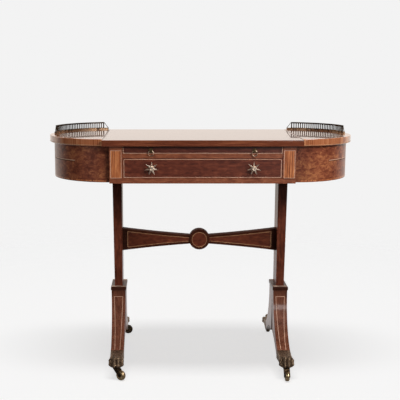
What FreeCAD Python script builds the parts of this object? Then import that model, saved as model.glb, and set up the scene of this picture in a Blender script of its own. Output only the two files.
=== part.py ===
"""Writing table with D shaped ends, a drawer, a writing slide and twin sabre trestles on castors.

Millimetres. X runs along the table, the drawer opens towards -Y and Z is up from the floor.
"""
import FreeCAD, Part
import math
import os
import re

import Sketcher

V = FreeCAD.Vector

SIZES = {
    # Top: a straight middle between two D shaped ends
    "top_length": 962.0,
    "top_depth": 446.0,
    "top_height": 740.0,
    "top_thickness": 19.0,
    "top_middle": 602.0,
    "top_joint": 0.3,
    "top_edge": 2.0,
    "end_rise": 2.0,
    "break_depth": 12.0,
    "end_flatness": 17.0,
    "end_straight": 4.0,
    "end_squash": 14.0,
    # Frieze under the top
    "front_overhang": 12.0,
    "end_overhang": 14.0,
    "frieze_height": 112.0,
    "end_lift": 2.0,
    "bay_width": 480.0,
    "pilaster_width": 40.0,
    "pilaster_depth": 24.0,
    "pilaster_proud": 1.5,
    "rail_depth": 22.0,
    "bottom_rail_height": 16.0,
    "drawer_opening": 60.0,
    "mid_rail_height": 14.0,
    "back_thickness": 18.0,
    "partition_thickness": 16.0,
    "wall_thickness": 22.0,
    "veneer": 1.2,
    "brick_angle": 36.0,
    "bearer_height": 22.0,
    "runner_width": 22.0,
    "runner_height": 12.0,
    "stop_width": 40.0,
    "stop_height": 5.0,
    "stop_spacing": 240.0,
    # Writing slide with two ring pulls
    "slide_thickness": 19.0,
    "slide_play": 0.3,
    "slide_side_play": 1.0,
    "slide_travel": 250.0,
    "lipping_depth": 14.0,
    "lining_margin": 40.0,
    "lining_thickness": 1.4,
    "peg_radius": 4.0,
    "peg_drop": 6.0,
    "peg_spacing": 200.0,
    "pull_inset": 85.0,
    "pull_drop": 10.0,
    "plate_radius": 7.0,
    "plate_thickness": 1.6,
    "post_radius": 3.2,
    "post_length": 7.6,
    "eye_radius": 2.2,
    "ring_radius": 8.0,
    "ring_wire": 1.1,
    # Drawer with two star knobs
    "drawer_play": 0.8,
    "drawer_lift": 0.3,
    "drawer_depth": 380.0,
    "drawer_front_thickness": 16.0,
    "drawer_side_thickness": 9.0,
    "drawer_head_room": 3.0,
    "drawer_bottom_thickness": 5.0,
    "drawer_bottom_lift": 6.5,
    "groove_depth": 4.0,
    "tail_count": 3.0,
    "tail_length": 11.0,
    "tail_flare": 1.6,
    "knob_inset": 87.0,
    "star_radius": 21.0,
    "star_thickness": 5.0,
    "star_rays": 7.0,
    "ray_width": 8.0,
    "ray_tip": 0.8,
    "hub_radius": 6.6,
    "hub_height": 5.5,
    "eyelet_radius": 3.4,
    "eyelet_wall": 1.7,
    "eyelet_depth": 2.4,
    "collar_radius": 6.5,
    "collar_length": 9.0,
    "neck_radius": 4.0,
    "stem_radius": 3.0,
    "stem_play": 0.1,
    "nut_radius": 6.5,
    "nut_thickness": 4.0,
    # Trestles and stretcher
    "trestle_shift": 4.0,
    "upright_width": 25.5,
    "upright_flare": 4.5,
    "upright_depth": 75.0,
    "tenon_width": 12.0,
    "tenon_depth": 48.0,
    "tenon_shoulder": 4.0,
    "tenon_length": 16.0,
    "trestle_height": 248.0,
    "cap_thickness": 11.0,
    "cap_width": 50.0,
    "cap_depth": 107.0,
    "cap_edge": 3.0,
    "block_depth": 44.0,
    "block_bottom": 93.0,
    "leg_root": 51.0,
    "leg_width": 46.0,
    "ankle_width": 40.0,
    "ankle_height": 67.0,
    "ankle_thickness": 30.0,
    "sweep_radius": 185.0,
    "arch_radius": 350.0,
    "stretcher_height": 398.0,
    "stretcher_thickness": 28.0,
    "stretcher_end": 73.0,
    "stretcher_waist": 24.0,
    "stretcher_curve": 4000.0,
    "roundel_radius": 33.5,
    "roundel_thickness": 36.0,
    "roundel_edge": 3.0,
    # Brass lion paws and castors
    "cuff_length": 2.5,
    "cuff_proud": 0.8,
    "cuff_flare": 0.4,
    "paw_width": 40.0,
    "paw_height": 28.0,
    "paw_reach": 246.0,
    "paw_round": 10.0,
    "pad_width": 38.0,
    "pad_height": 20.0,
    "pad_reach": 238.0,
    "pad_round": 8.0,
    "sole_height": 38.5,
    "toe_count": 4.0,
    "toe_radius": 6.0,
    "toe_swell": 0.6,
    "toe_length": 26.0,
    "toe_spread": 11.6,
    "toe_root_spread": 9.6,
    "toe_fan": 8.0,
    "toe_rise": 2.5,
    "toe_curl": 4.5,
    "knuckle_height": 33.0,
    "knuckle_fall": 8.0,
    "claw_radius": 2.5,
    "claw_tip": 0.6,
    "claw_length": 6.2,
    "castor_pivot": 232.0,
    "castor_trail": 19.0,
    "wheel_radius": 16.0,
    "wheel_width": 12.0,
    "wheel_crown": 2.0,
    "wheel_play": 0.06,
    "axle_radius": 2.4,
    "fork_play": 0.6,
    "cheek_thickness": 2.6,
    "cheek_end": 5.5,
    "cheek_drop": 5.0,
    "swivel_radius": 11.0,
    "swivel_thickness": 3.0,
    "swivel_play": 0.3,
    "spindle_radius": 4.0,
    "spindle_length": 16.0,
    "spindle_play": 0.08,
    "front_left_turn": -38.0,
    "front_right_turn": -90.0,
    "back_left_turn": 0.0,
    "back_right_turn": 90.0,
    # Pierced brass galleries
    "gallery_inset": 13.0,
    "gallery_height": 25.0,
    "gallery_thickness": 1.6,
    "gallery_base_width": 5.0,
    "gallery_base_height": 5.5,
    "gallery_rail_width": 3.4,
    "gallery_rail_height": 2.6,
    "gallery_turn": -4.0,
    "gallery_ramp": 15.0,
    "slot_pitch": 7.6,
    "slot_width": 4.4,
    "slot_margin": 1.6,
    "gallery_lengths": 6.0,
}

DERIVED = {
    "half_length": "top_length / 2",
    "half_depth": "top_depth / 2",
    "half_middle": "top_middle / 2",
    "frieze_top": "top_height - top_thickness",
    "frieze_bottom": "frieze_top - frieze_height",
    "front_face": "half_depth - front_overhang",
    "bay_edge": "bay_width / 2",
    "pilaster_edge": "bay_edge + pilaster_width",
    "post_inside": "front_face - pilaster_depth",
    "rail_inside": "front_face - rail_depth",
    "back_inside": "front_face - back_thickness",
    "drawer_floor": "frieze_bottom + bottom_rail_height",
    "drawer_ceiling": "drawer_floor + drawer_opening",
    "slide_floor": "drawer_ceiling + mid_rail_height",
    "slide_bottom": "slide_floor + slide_play",
    "slide_top": "slide_bottom + slide_thickness",
    "slide_half": "bay_edge - slide_side_play",
    "slide_back": "back_inside - slide_play",
    "lipping_back": "front_face - lipping_depth",
    "end_bottom": "frieze_bottom + end_lift",
    "end_side": "front_face - break_depth",
    "end_room": "half_length - end_overhang - pilaster_edge - end_straight",
    "end_reach": "min(end_room; end_side - end_squash)",
    "end_spring": "half_length - end_overhang - end_reach",
    "rim_side": "half_depth - break_depth",
    "rim_reach": "half_length - end_spring",
    "rim_height": "top_height + end_rise",
    "trestle_x": "bay_edge + pilaster_width / 2 + trestle_shift",
    "leg_top": "trestle_height - cap_thickness",
    "sweep_y": "leg_root + sweep_radius",
    "ankle_drop": "leg_top - ankle_height",
    "ankle_y": "sweep_y - sqrt(sweep_radius ^ 2 - ankle_drop ^ 2)",
    "heel_y": "ankle_y - ankle_thickness * (sweep_y - ankle_y) / sweep_radius",
    "heel_z": "ankle_height - ankle_thickness * ankle_drop / sweep_radius",
    "upright_inside": "trestle_x - upright_width / 2",
    "drawer_half": "bay_edge - drawer_play",
    "drawer_low": "drawer_floor + drawer_lift",
    "drawer_high": "drawer_ceiling - drawer_play",
    "side_high": "drawer_ceiling - drawer_head_room",
    "side_inside": "drawer_half - drawer_side_thickness",
    "drawer_back_face": "drawer_depth - front_face",
    "front_back_face": "drawer_front_thickness - front_face",
    "panel_low": "drawer_low + drawer_bottom_lift",
    "panel_high": "panel_low + drawer_bottom_thickness",
    "knob_x": "bay_edge - knob_inset",
    "knob_height": "(drawer_floor + drawer_ceiling) / 2",
    "tail_pitch": "(side_high - drawer_low) / tail_count",
    "pull_x": "bay_edge - pull_inset",
    "pull_height": "slide_top - pull_drop",
    "stem_hole": "stem_radius + stem_play",
    "fork_gap": "wheel_width + 2 * fork_play",
    "fork_width": "fork_gap + 2 * cheek_thickness",
    "cheek_bow": "(cheek_end ^ 2 + cheek_drop ^ 2) / (2 * cheek_drop)",
    "swivel_top": "sole_height - swivel_play",
    "swivel_bottom": "swivel_top - swivel_thickness",
}

doc = FreeCAD.newDocument("writing_table")
sheet = doc.addObject("Spreadsheet::Sheet", "Sizes")
for row, (alias, length) in enumerate(SIZES.items(), start=1):
    sheet.set(f"A{row}", alias)
    sheet.set(f"B{row}", str(length))
    sheet.setAlias(f"B{row}", alias)
doc.recompute()

nodes = []


def tie(formula):
    """Spell a formula out in cells of the sheet."""
    def cell(match):
        word = match.group(0)
        if word in DERIVED:
            return "(" + tie(DERIVED[word]) + ")"
        return "Sizes." + word if word in SIZES else word
    return re.sub(r"[a-z_]+", cell, formula)


def size(formula):
    """Value of a formula, in millimetres or degrees."""
    value = sheet.evalExpression(tie(formula))
    return float(getattr(value, "Value", value))


def node(piece, name):
    """Name a finished sub-part, which goes to a file of its own."""
    piece.Label = name
    nodes.append(piece)
    return piece


def place(piece, x="0", y="0", z="0"):
    for axis, formula in zip("xyz", (x, y, z)):
        piece.setExpression(f"Placement.Base.{axis}", tie(formula))
    return piece


def board(x, y, z, name="Board"):
    """A sawn piece between three pairs of planes."""
    piece = doc.addObject("Part::Box", name)
    for side, (low, high) in zip(("Length", "Width", "Height"), (x, y, z)):
        piece.setExpression(side, tie(f"({high}) - ({low})"))
    return place(piece, x[0], y[0], z[0])


def rod(radius, length, x, y, z, along="z", name="Rod"):
    """A round piece that starts at a point and runs along an axis."""
    turns = {"x": (V(0, 1, 0), 90), "-y": (V(1, 0, 0), 90), "y": (V(1, 0, 0), -90), "z": (V(0, 0, 1), 0)}
    piece = doc.addObject("Part::Cylinder", name)
    piece.setExpression("Radius", tie(radius))
    piece.setExpression("Height", tie(length))
    piece.Placement = FreeCAD.Placement(V(), FreeCAD.Rotation(*turns[along]))
    return place(piece, x, y, z)


def cut(base, *tools):
    for tool in tools:
        result = doc.addObject("Part::Cut", "Cut")
        result.Base = base
        result.Tool = tool
        base = result
    return base


def fuse(*pieces):
    result = doc.addObject("Part::MultiFuse", "Fuse")
    result.Shapes = list(pieces)
    return result


def common(base, tool):
    result = doc.addObject("Part::Common", "Common")
    result.Base = base
    result.Tool = tool
    return result


def group(*pieces):
    """Separate solids that share one node."""
    result = doc.addObject("Part::Compound", "Group")
    result.Links = list(pieces)
    return result


def mirror(piece, axis="x"):
    result = doc.addObject("Part::Mirroring", "Mirror")
    result.Source = piece
    result.Normal = V(1, 0, 0) if axis == "x" else V(0, 1, 0)
    return result


def body(name):
    return doc.addObject("PartDesign::Body", name)


def sketch(owner, role, offset=None):
    """A sketch on one of the body's own planes, moved along its normal by a formula."""
    flat = next(f for f in owner.Origin.OriginFeatures if f.Role == role)
    drawing = owner.newObject("Sketcher::SketchObject", owner.Name + "Sketch")
    drawing.AttachmentSupport = [(flat, "")]
    drawing.MapMode = "FlatFace"
    if offset:
        drawing.setExpression("AttachmentOffset.Base.z", tie(offset))
    return drawing


def dimension(drawing, constraint, formula):
    index = drawing.addConstraint(constraint)
    drawing.setExpression(f"Constraints[{index}]", tie(formula))


def fix_point(drawing, edge, end, x, y):
    dimension(drawing, Sketcher.Constraint("DistanceX", -1, 1, edge, end, size(x)), x)
    dimension(drawing, Sketcher.Constraint("DistanceY", -1, 1, edge, end, size(y)), y)


def near(value, level):
    return abs(value - level) < 0.1


def bow(start, stop, radius, left):
    """Arc of under half a circle from start to stop, with its centre on the left or right hand."""
    chord = stop - start
    rise = math.sqrt(radius ** 2 - chord.Length ** 2 / 4)
    across = V(-chord.y, chord.x, 0).normalize()
    centre = (start + stop) / 2 + across * (rise if left else -rise)
    first, last = (start, stop) if left else (stop, start)
    angles = [math.atan2(p.y - centre.y, p.x - centre.x) for p in (first, last)]
    if angles[1] < angles[0]:
        angles[1] += 2 * math.pi
    return Part.ArcOfCircle(Part.Circle(centre, V(0, 0, 1), radius), *angles)


def outline(drawing, corners, bends=None):
    """Closed outline through corners; a bend turns the side after its corner into an arc."""
    bends = bends or {}
    points = [V(size(x), size(y), 0) for x, y in corners]
    ends = []
    for number, start in enumerate(points):
        stop = points[(number + 1) % len(points)]
        if number in bends:
            radius, hand = bends[number]
            edge = drawing.addGeometry(bow(start, stop, size(radius), hand == "left"), False)
            ends.append((edge, 1, 2) if hand == "left" else (edge, 2, 1))
        else:
            edge = drawing.addGeometry(Part.LineSegment(start, stop), False)
            ends.append((edge, 1, 2))
    for number, (edge, first, last) in enumerate(ends):
        after, after_first, _ = ends[(number + 1) % len(ends)]
        drawing.addConstraint(Sketcher.Constraint("Coincident", edge, last, after, after_first))
        fix_point(drawing, edge, first, *corners[number])
        if number in bends:
            radius = bends[number][0]
            dimension(drawing, Sketcher.Constraint("Radius", edge, size(radius)), radius)
    return drawing


def circle(drawing, radius, x="0", y="0"):
    edge = drawing.addGeometry(Part.Circle(V(size(x), size(y), 0), V(0, 0, 1), size(radius)), False)
    fix_point(drawing, edge, 3, x, y)
    dimension(drawing, Sketcher.Constraint("Radius", edge, size(radius)), radius)
    return drawing


def raise_from(owner, kind, drawing, length=None, both=False, backwards=False):
    """Pad or pocket a sketch of the body."""
    feature = owner.newObject("PartDesign::" + kind, owner.Name + kind)
    feature.Profile = drawing
    if length:
        feature.setExpression("Length", tie(length))
    else:
        feature.Type = "ThroughAll"
    feature.Midplane = both
    feature.Reversed = backwards
    drawing.Visibility = False
    doc.recompute()
    return feature


def ease(owner, base, radius, chosen):
    """Round the edges of a feature that a test on their middle point picks."""
    edges = base.Shape.Edges
    picked = [f"Edge{n}" for n, edge in enumerate(edges, start=1) if chosen(edge.CenterOfMass)]
    feature = owner.newObject("PartDesign::Fillet", owner.Name + "Fillet")
    feature.Base = (base, picked)
    feature.setExpression("Radius", tie(radius))
    doc.recompute()
    return feature


def end_outline(start, side, reach, offset="0"):
    """D shaped end: two shoulder arcs and one flatter arc between them, tangent to the long sides."""
    shoulder = f"(min({reach}; {side}) - end_flatness)"
    flat = f"((({reach}) ^ 2 + ({side}) ^ 2 - 2 * ({side}) * {shoulder}) / (2 * (({reach}) - {shoulder})))"
    centre = f"(end_spring + ({reach}) - {flat})"
    share = f"(({flat} + ({offset})) / ({flat} - {shoulder}))"
    meet_x = f"({centre} + (end_spring - {centre}) * {share})"
    meet_y = f"((({side}) - {shoulder}) * {share})"
    edge = f"(({side}) + ({offset}))"
    corners = [(start, "-" + edge), ("end_spring", "-" + edge), (meet_x, "-" + meet_y),
               (meet_x, meet_y), ("end_spring", edge), (start, edge)]
    bends = {1: (f"{shoulder} + ({offset})", "left"), 2: (f"{flat} + ({offset})", "left"),
             3: (f"{shoulder} + ({offset})", "left")}
    return corners, bends


def end_shell(name, outside, inside, low, high):
    """Curved wall of a D shaped end between two offsets of its face."""
    owner = body(name)
    frieze = ("pilaster_edge", "end_side", "end_reach")
    face = outline(sketch(owner, "XY_Plane", low), *end_outline(*frieze, outside))
    raise_from(owner, "Pad", face, f"({high}) - ({low})")
    hollow = outline(sketch(owner, "XY_Plane", low), *end_outline(*frieze, inside))
    raise_from(owner, "Pocket", hollow, f"({high}) - ({low})", backwards=True)
    return owner


def make_top():
    middle = body("TopMiddle")
    plan = outline(sketch(middle, "XY_Plane", "frieze_top"),
                   [("-half_middle", "-half_depth"), ("half_middle", "-half_depth"),
                    ("half_middle", "half_depth"), ("-half_middle", "half_depth")])
    slab = raise_from(middle, "Pad", plan, "top_thickness")
    ease(middle, slab, "top_edge", lambda p: near(abs(p.y), size("half_depth")) and near(p.x, 0))
    node(middle, "top_centre")

    end = body("TopEnd")
    plan = outline(sketch(end, "XY_Plane", "frieze_top"),
                   *end_outline("pilaster_edge", "rim_side", "rim_reach"))
    raise_from(end, "Pad", plan, "top_thickness + end_rise")
    seat = "half_middle + top_joint"
    waste = outline(sketch(end, "XY_Plane", "frieze_top"),
                    [("bay_edge", "-half_depth"), (seat, "-half_depth"), (seat, "half_depth"),
                     ("bay_edge", "half_depth")])
    slab = raise_from(end, "Pocket", waste, "top_thickness + end_rise", backwards=True)
    levels = (size("frieze_top"), size("rim_height"))
    ease(end, slab, "top_edge",
         lambda p: any(near(p.z, level) for level in levels) and not near(p.x, size(seat)))
    node(mirror(end), "top_end_left")
    node(end, "top_end_right")


def make_end_frieze():
    """Brick-laid core in two staggered courses, under a curved skin of veneer."""
    core = "-veneer"
    middle = "((end_bottom + frieze_top) / 2)"
    courses = (("end_bottom", middle, "0"), (middle, "frieze_top", "brick_angle / 2"))
    bricks = []
    for low, high, shift in courses:
        wall = end_shell("EndCourse", core, core + " - wall_thickness", low, high)
        count = math.ceil((180 + size(shift)) / size("brick_angle"))
        for number in range(count):
            wedge = doc.addObject("Part::Cylinder", "Wedge")
            wedge.setExpression("Radius", tie("end_reach + end_side"))
            wedge.setExpression("Height", tie(f"({high}) - ({low})"))
            wedge.setExpression("Angle", tie("brick_angle"))
            wedge.setExpression("Placement.Rotation.Angle", tie(f"{number} * brick_angle - 90 - ({shift})"))
            place(wedge, "pilaster_edge", "0", low)
            bricks.append(common(wall, wedge))
    core_group = group(*bricks)
    node(mirror(core_group), "end_core_left")
    node(core_group, "end_core_right")
    skin = end_shell("EndVeneer", "0", core, "end_bottom", "frieze_top")
    node(mirror(skin), "end_veneer_left")
    node(skin, "end_veneer_right")


def make_carcase():
    height = ("frieze_bottom", "frieze_top")
    bay = ("-bay_edge", "bay_edge")
    post_width = ("bay_edge", "pilaster_edge")
    post = board(post_width, ("-front_face - pilaster_proud", "-post_inside"), ("drawer_floor", "frieze_top"))
    back_post = board(post_width, ("post_inside", "front_face + pilaster_proud"), height)
    node(mirror(post), "pilaster_front_left")
    node(post, "pilaster_front_right")
    node(mirror(back_post), "pilaster_back_left")
    node(back_post, "pilaster_back_right")
    node(board(("-pilaster_edge", "pilaster_edge"), ("-front_face", "-rail_inside"),
               ("frieze_bottom", "drawer_floor")), "bottom_rail")
    node(board(bay, ("-front_face", "-rail_inside"), ("drawer_ceiling", "slide_floor")), "mid_rail")
    node(board(bay, ("back_inside", "front_face"), height), "back_frieze")
    between = ("-post_inside", "post_inside")
    under = "frieze_bottom + bearer_height"
    wall = board(("bay_edge", "bay_edge + partition_thickness"), between, (under, "frieze_top"))
    node(mirror(wall), "partition_left")
    node(wall, "partition_right")
    bearer = board(("bay_edge", "pilaster_edge"), between, ("frieze_bottom", under))
    bearer = cut(bearer, upright_tenon("frieze_bottom"))
    node(group(mirror(bearer), bearer), "bearers")
    inner = ("bay_edge - runner_width", "bay_edge")
    length = ("-rail_inside", "back_inside")
    for name, level in (("drawer_runners", "drawer_floor"), ("slide_runners", "slide_floor")):
        runner = board(inner, length, (f"{level} - runner_height", level))
        node(group(mirror(runner), runner), name)
    stop = board(("(stop_spacing - stop_width) / 2", "(stop_spacing + stop_width) / 2"),
                 ("front_back_face + drawer_lift", "-rail_inside"),
                 ("drawer_floor", "drawer_floor + stop_height"))
    node(group(mirror(stop), stop), "drawer_stops")


def make_slide():
    """Leather lined board behind a solid front edge, drawn out by two drop rings."""
    width = ("-slide_half", "slide_half")
    edge_back = "-lipping_back"
    lining_place = (("lining_margin - slide_half", "slide_half - lining_margin"),
                    ("lining_margin - lipping_back", "slide_back - lining_margin"),
                    ("slide_top - lining_thickness", "slide_top"))
    panel = board(width, (edge_back, "slide_back"), ("slide_bottom", "slide_top"))
    node(cut(panel, board(*lining_place, name="LiningBed")), "slide_panel")
    node(board(*lining_place), "slide_lining")
    node(board(width, ("-front_face", edge_back), ("slide_bottom", "slide_top")), "slide_lipping")
    peg_y = "slide_travel + slide_play + peg_radius - rail_inside"
    peg = rod("peg_radius", "peg_drop", "peg_spacing / 2", peg_y, "slide_bottom - peg_drop")
    node(group(mirror(peg), peg), "slide_stop_pegs")

    rosette = rod("plate_radius", "plate_thickness", "pull_x", "-front_face", "pull_height", "-y")
    post = rod("post_radius", "post_length", "pull_x", "-front_face", "pull_height", "-y")
    pivot_y = "-front_face - plate_thickness - (post_length - plate_thickness) / 2"
    eye = rod("eye_radius", "4 * post_radius", "pull_x - 2 * post_radius", pivot_y, "pull_height", "x")
    plate = cut(fuse(rosette, post), eye)
    node(group(mirror(plate), plate), "ring_plates")
    ring = doc.addObject("Part::Torus", "PullRing")
    ring.setExpression("Radius1", tie("ring_radius"))
    ring.setExpression("Radius2", tie("ring_wire"))
    ring.Placement = FreeCAD.Placement(V(), FreeCAD.Rotation(V(1, 0, 0), 90))
    place(ring, "pull_x", pivot_y, "pull_height - ring_radius")
    node(mirror(ring), "pull_ring_left")
    node(ring, "pull_ring_right")


def make_star(side):
    """Star knob: ridged rays round a hub with an eyelet, on a collar, its stem through the drawer front."""
    star = body("StarKnob")
    turned = sketch(star, "YZ_Plane")
    rim = "-collar_length - star_thickness"
    tip = rim + " - hub_height"
    eyelet = tip + " + eyelet_depth"
    outline(turned, [("0", "0"), ("0", "collar_radius"), ("-collar_length", "neck_radius"),
                     ("-collar_length", "hub_radius"), (rim, "hub_radius"),
                     (tip, "eyelet_radius + eyelet_wall"), (tip, "eyelet_radius"),
                     (eyelet, "eyelet_radius"), (eyelet, "0")],
            {4: ("hub_radius", "left")})
    turn = star.newObject("PartDesign::Revolution", "StarHub")
    turn.Profile = turned
    turn.ReferenceAxis = (turned, ["H_Axis"])
    turn.Angle = 360
    doc.recompute()
    sections = []
    for reach, width, height in (("hub_radius / 2", "ray_width", "star_thickness"),
                                 ("star_radius", "ray_tip", "ray_tip")):
        section = sketch(star, "XY_Plane", reach)
        outline(section, [(f"-{width} / 2", "-collar_length"), ("0", f"-collar_length - {height}"),
                          (f"{width} / 2", "-collar_length")])
        sections.append(section)
    ray = star.newObject("PartDesign::AdditiveLoft", "StarRay")
    ray.Profile = sections[0]
    ray.Sections = sections[1:]
    ray.Ruled = True
    doc.recompute()
    rays = star.newObject("PartDesign::PolarPattern", "StarRays")
    rays.Originals = [ray]
    rays.Axis = (turned, ["H_Axis"])
    rays.Angle = 360
    rays.setExpression("Occurrences", tie("star_rays"))
    star.Tip = rays
    doc.recompute()
    stem = sketch(star, "XZ_Plane")
    circle(stem, "stem_radius")
    raise_from(star, "Pad", stem, "drawer_front_thickness + nut_thickness", backwards=True)
    return place(star, f"{side} * knob_x", "-front_face", "knob_height")


def make_tails():
    """Dovetails on the front end of the right drawer side, lapped into the drawer front."""
    tails = body("Dovetails")
    plan = sketch(tails, "YZ_Plane", "side_inside")
    neck, head = "tail_pitch / 4", "tail_pitch / 4 + tail_flare"
    end = "front_back_face - tail_length"
    for number in range(int(size("tail_count"))):
        middle = f"drawer_low + tail_pitch * ({number} + 1 / 2)"
        outline(plan, [("front_back_face", f"{middle} + {neck}"), (end, f"{middle} + {head}"),
                       (end, f"{middle} - ({head})"), ("front_back_face", f"{middle} - {neck}")])
    raise_from(tails, "Pad", plan, "drawer_side_thickness")
    return tails


def make_drawer():
    front = board(("-drawer_half", "drawer_half"), ("-front_face", "front_back_face"),
                  ("drawer_low", "drawer_high"))
    panel_place = (("-side_inside - groove_depth", "side_inside + groove_depth"),
                   ("front_back_face - groove_depth", "drawer_back_face"), ("panel_low", "panel_high"))
    groove = board(*panel_place, name="BottomGroove")
    holes = [rod("stem_hole", "drawer_front_thickness", f"{sign} * knob_x", "-front_face", "knob_height", "y")
             for sign in (-1, 1)]
    tails = make_tails()
    node(cut(front, groove, *holes, tails, mirror(tails)), "drawer_front")
    side = board(("side_inside", "drawer_half"), ("front_back_face", "drawer_back_face"),
                 ("drawer_low", "side_high"))
    side = cut(fuse(side, tails), groove)
    node(mirror(side), "drawer_side_left")
    node(side, "drawer_side_right")
    node(board(("-side_inside", "side_inside"),
               ("drawer_back_face - drawer_side_thickness", "drawer_back_face"),
               ("panel_high", "side_high")), "drawer_back")
    node(board(*panel_place), "drawer_bottom")
    nuts = []
    for hand, sign in (("left", -1), ("right", 1)):
        node(make_star(sign), f"star_knob_{hand}")
        spot = (f"{sign} * knob_x", "front_back_face", "knob_height", "y")
        nuts.append(cut(rod("nut_radius", "nut_thickness", *spot), rod("stem_hole", "nut_thickness", *spot)))
    node(group(*nuts), "knob_nuts")


def upright_tenon(low):
    """Stub tenon on the top of the right upright, and the mortise that takes it."""
    return board(("trestle_x - tenon_width / 2", "trestle_x + tenon_width / 2"),
                 ("tenon_shoulder - block_depth / 2", "block_depth / 2 - tenon_shoulder"),
                 (low, f"{low} + tenon_length"))


def make_leg():
    """Right front sabre leg: its side profile, thinned towards the ankle in the front view."""
    side = body("LegSide")
    profile = outline(sketch(side, "YZ_Plane"),
                      [("-block_depth / 2", "leg_top"), ("-leg_root", "leg_top"),
                       ("-ankle_y", "ankle_height"), ("-heel_y", "heel_z"),
                       ("-block_depth / 2", "block_bottom")],
                      {1: ("sweep_radius", "right"), 3: ("arch_radius", "right")})
    raise_from(side, "Pad", profile, "leg_width", both=True)
    place(side, "trestle_x")
    front = body("LegFront")
    taper = outline(sketch(front, "XZ_Plane"),
                    [("-leg_width / 2", "leg_top"), ("-ankle_width / 2", "heel_z"),
                     ("ankle_width / 2", "heel_z"), ("leg_width / 2", "leg_top")])
    raise_from(front, "Pad", taper, "2 * ankle_y", both=True)
    place(front, "trestle_x")
    return common(side, front)


def make_trestles():
    post = body("Upright")
    face = outline(sketch(post, "XZ_Plane"),
                   [("upright_inside", "trestle_height"),
                    ("upright_inside + upright_width", "trestle_height"),
                    ("upright_inside + upright_width + upright_flare", "frieze_bottom"),
                    ("upright_inside", "frieze_bottom")])
    raise_from(post, "Pad", face, "upright_depth", both=True)
    upright = fuse(post, upright_tenon("frieze_bottom"), upright_tenon("trestle_height - tenon_length"))
    upright = cut(upright, arm_tenon())
    node(mirror(upright), "upright_left")
    node(upright, "upright_right")

    cap = body("TrestleCap")
    plan = outline(sketch(cap, "XY_Plane", "leg_top"),
                   [("-cap_width / 2", "-cap_depth / 2"), ("cap_width / 2", "-cap_depth / 2"),
                    ("cap_width / 2", "cap_depth / 2"), ("-cap_width / 2", "cap_depth / 2")])
    slab = raise_from(cap, "Pad", plan, "cap_thickness")
    ease(cap, slab, "cap_edge", lambda p: near(p.z, size("trestle_height")))
    place(cap, "trestle_x")
    mortise = upright_tenon("trestle_height - tenon_length")
    cap_piece = cut(cap, mortise)
    node(group(mirror(cap_piece), cap_piece), "trestle_caps")
    block = cut(board(("trestle_x - leg_width / 2", "trestle_x + leg_width / 2"),
                      ("-block_depth / 2", "block_depth / 2"), ("block_bottom", "leg_top")), mortise)
    node(group(mirror(block), block), "trestle_blocks")

    leg = make_leg()
    back = mirror(leg, "y")
    for name, piece in (("front_left", mirror(leg)), ("front_right", leg), ("back_left", mirror(back)),
                        ("back_right", back)):
        node(piece, f"leg_{name}")
    return leg


def arm_tenon():
    """Tenon on the right end of the stretcher, and the mortise in its upright."""
    return board(("upright_inside", "upright_inside + tenon_length"), ("-tenon_width / 2", "tenon_width / 2"),
                 ("stretcher_height - tenon_depth / 2", "stretcher_height + tenon_depth / 2"))


def make_stretcher():
    """Two arms that swell towards the uprights, coped to a turned roundel between them."""
    arm = body("StretcherArm")
    waist = "stretcher_waist / 2"
    end = "stretcher_end / 2"
    plan = outline(sketch(arm, "XZ_Plane"),
                   [("0", f"stretcher_height - {waist}"), ("upright_inside", f"stretcher_height - {end}"),
                    ("upright_inside", f"stretcher_height + {end}"), ("0", f"stretcher_height + {waist}")],
                   {0: ("stretcher_curve", "right"), 2: ("stretcher_curve", "right")})
    raise_from(arm, "Pad", plan, "stretcher_thickness", both=True)
    seat = rod("roundel_radius", "2 * roundel_thickness", "0", "roundel_thickness", "stretcher_height", "-y")
    arm_piece = fuse(cut(arm, seat), arm_tenon())
    node(mirror(arm_piece), "stretcher_arm_left")
    node(arm_piece, "stretcher_arm_right")

    roundel = body("Roundel")
    face = "roundel_thickness / 2"
    shoulder = "roundel_thickness / 2 - roundel_edge"
    crown = "roundel_radius - roundel_edge"
    profile = outline(sketch(roundel, "YZ_Plane"),
                      [(f"-{face}", "0"), (f"-{face}", crown), (f"-({shoulder})", "roundel_radius"),
                       (shoulder, "roundel_radius"), (face, crown), (face, "0")],
                      {1: ("roundel_edge", "right"), 3: ("roundel_edge", "right")})
    turn = roundel.newObject("PartDesign::Revolution", "RoundelTurn")
    turn.Profile = profile
    turn.ReferenceAxis = (profile, ["H_Axis"])
    turn.Angle = 360
    node(place(roundel, "0", "0", "stretcher_height"), "stretcher_roundel")


def rounded_section(width, height, centre, across, up, radius):
    """Wire of a rectangle with round corners, square to a direction of travel."""
    half_w, half_h = width / 2, height / 2
    core_w, core_h = half_w - radius, half_h - radius
    quarter = radius * (1 - math.sqrt(0.5))
    corners = [(1, 1), (-1, 1), (-1, -1), (1, -1)]

    def at(u, v):
        return centre + across * u + up * v

    edges = []
    for number, (sx, sy) in enumerate(corners):
        ends = [at(sx * half_w, sy * core_h), at(sx * core_w, sy * half_h)]
        middle = at(sx * (half_w - quarter), sy * (half_h - quarter))
        if sx != sy:
            ends.reverse()
        edges.append(Part.Arc(ends[0], middle, ends[1]).toShape())
        nx, ny = corners[(number + 1) % 4]
        after = at(nx * core_w, ny * half_h) if sy == ny else at(nx * half_w, ny * core_h)
        edges.append(Part.LineSegment(ends[1], after).toShape())
    return Part.Wire(edges)


def make_toe(root, knuckle, tip, radius):
    """Toe that rises along the instep to its knuckle and bends down to its tip, which has a claw."""
    claw = Part.makeCone(size("claw_radius"), size("claw_tip"), size("claw_length"),
                         tip + V(0, -0.55, -0.1) * radius, V(0, -0.35, -0.94))
    joint = radius + size("toe_swell")
    parts = [claw, *(Part.makeSphere(joint, spot) for spot in (root, knuckle, tip))]
    for start, stop in ((root, knuckle), (knuckle, tip)):
        parts.append(Part.makeCylinder(radius, (stop - start).Length, start, stop - start))
    return parts[0].fuse(parts[1:])


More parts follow.
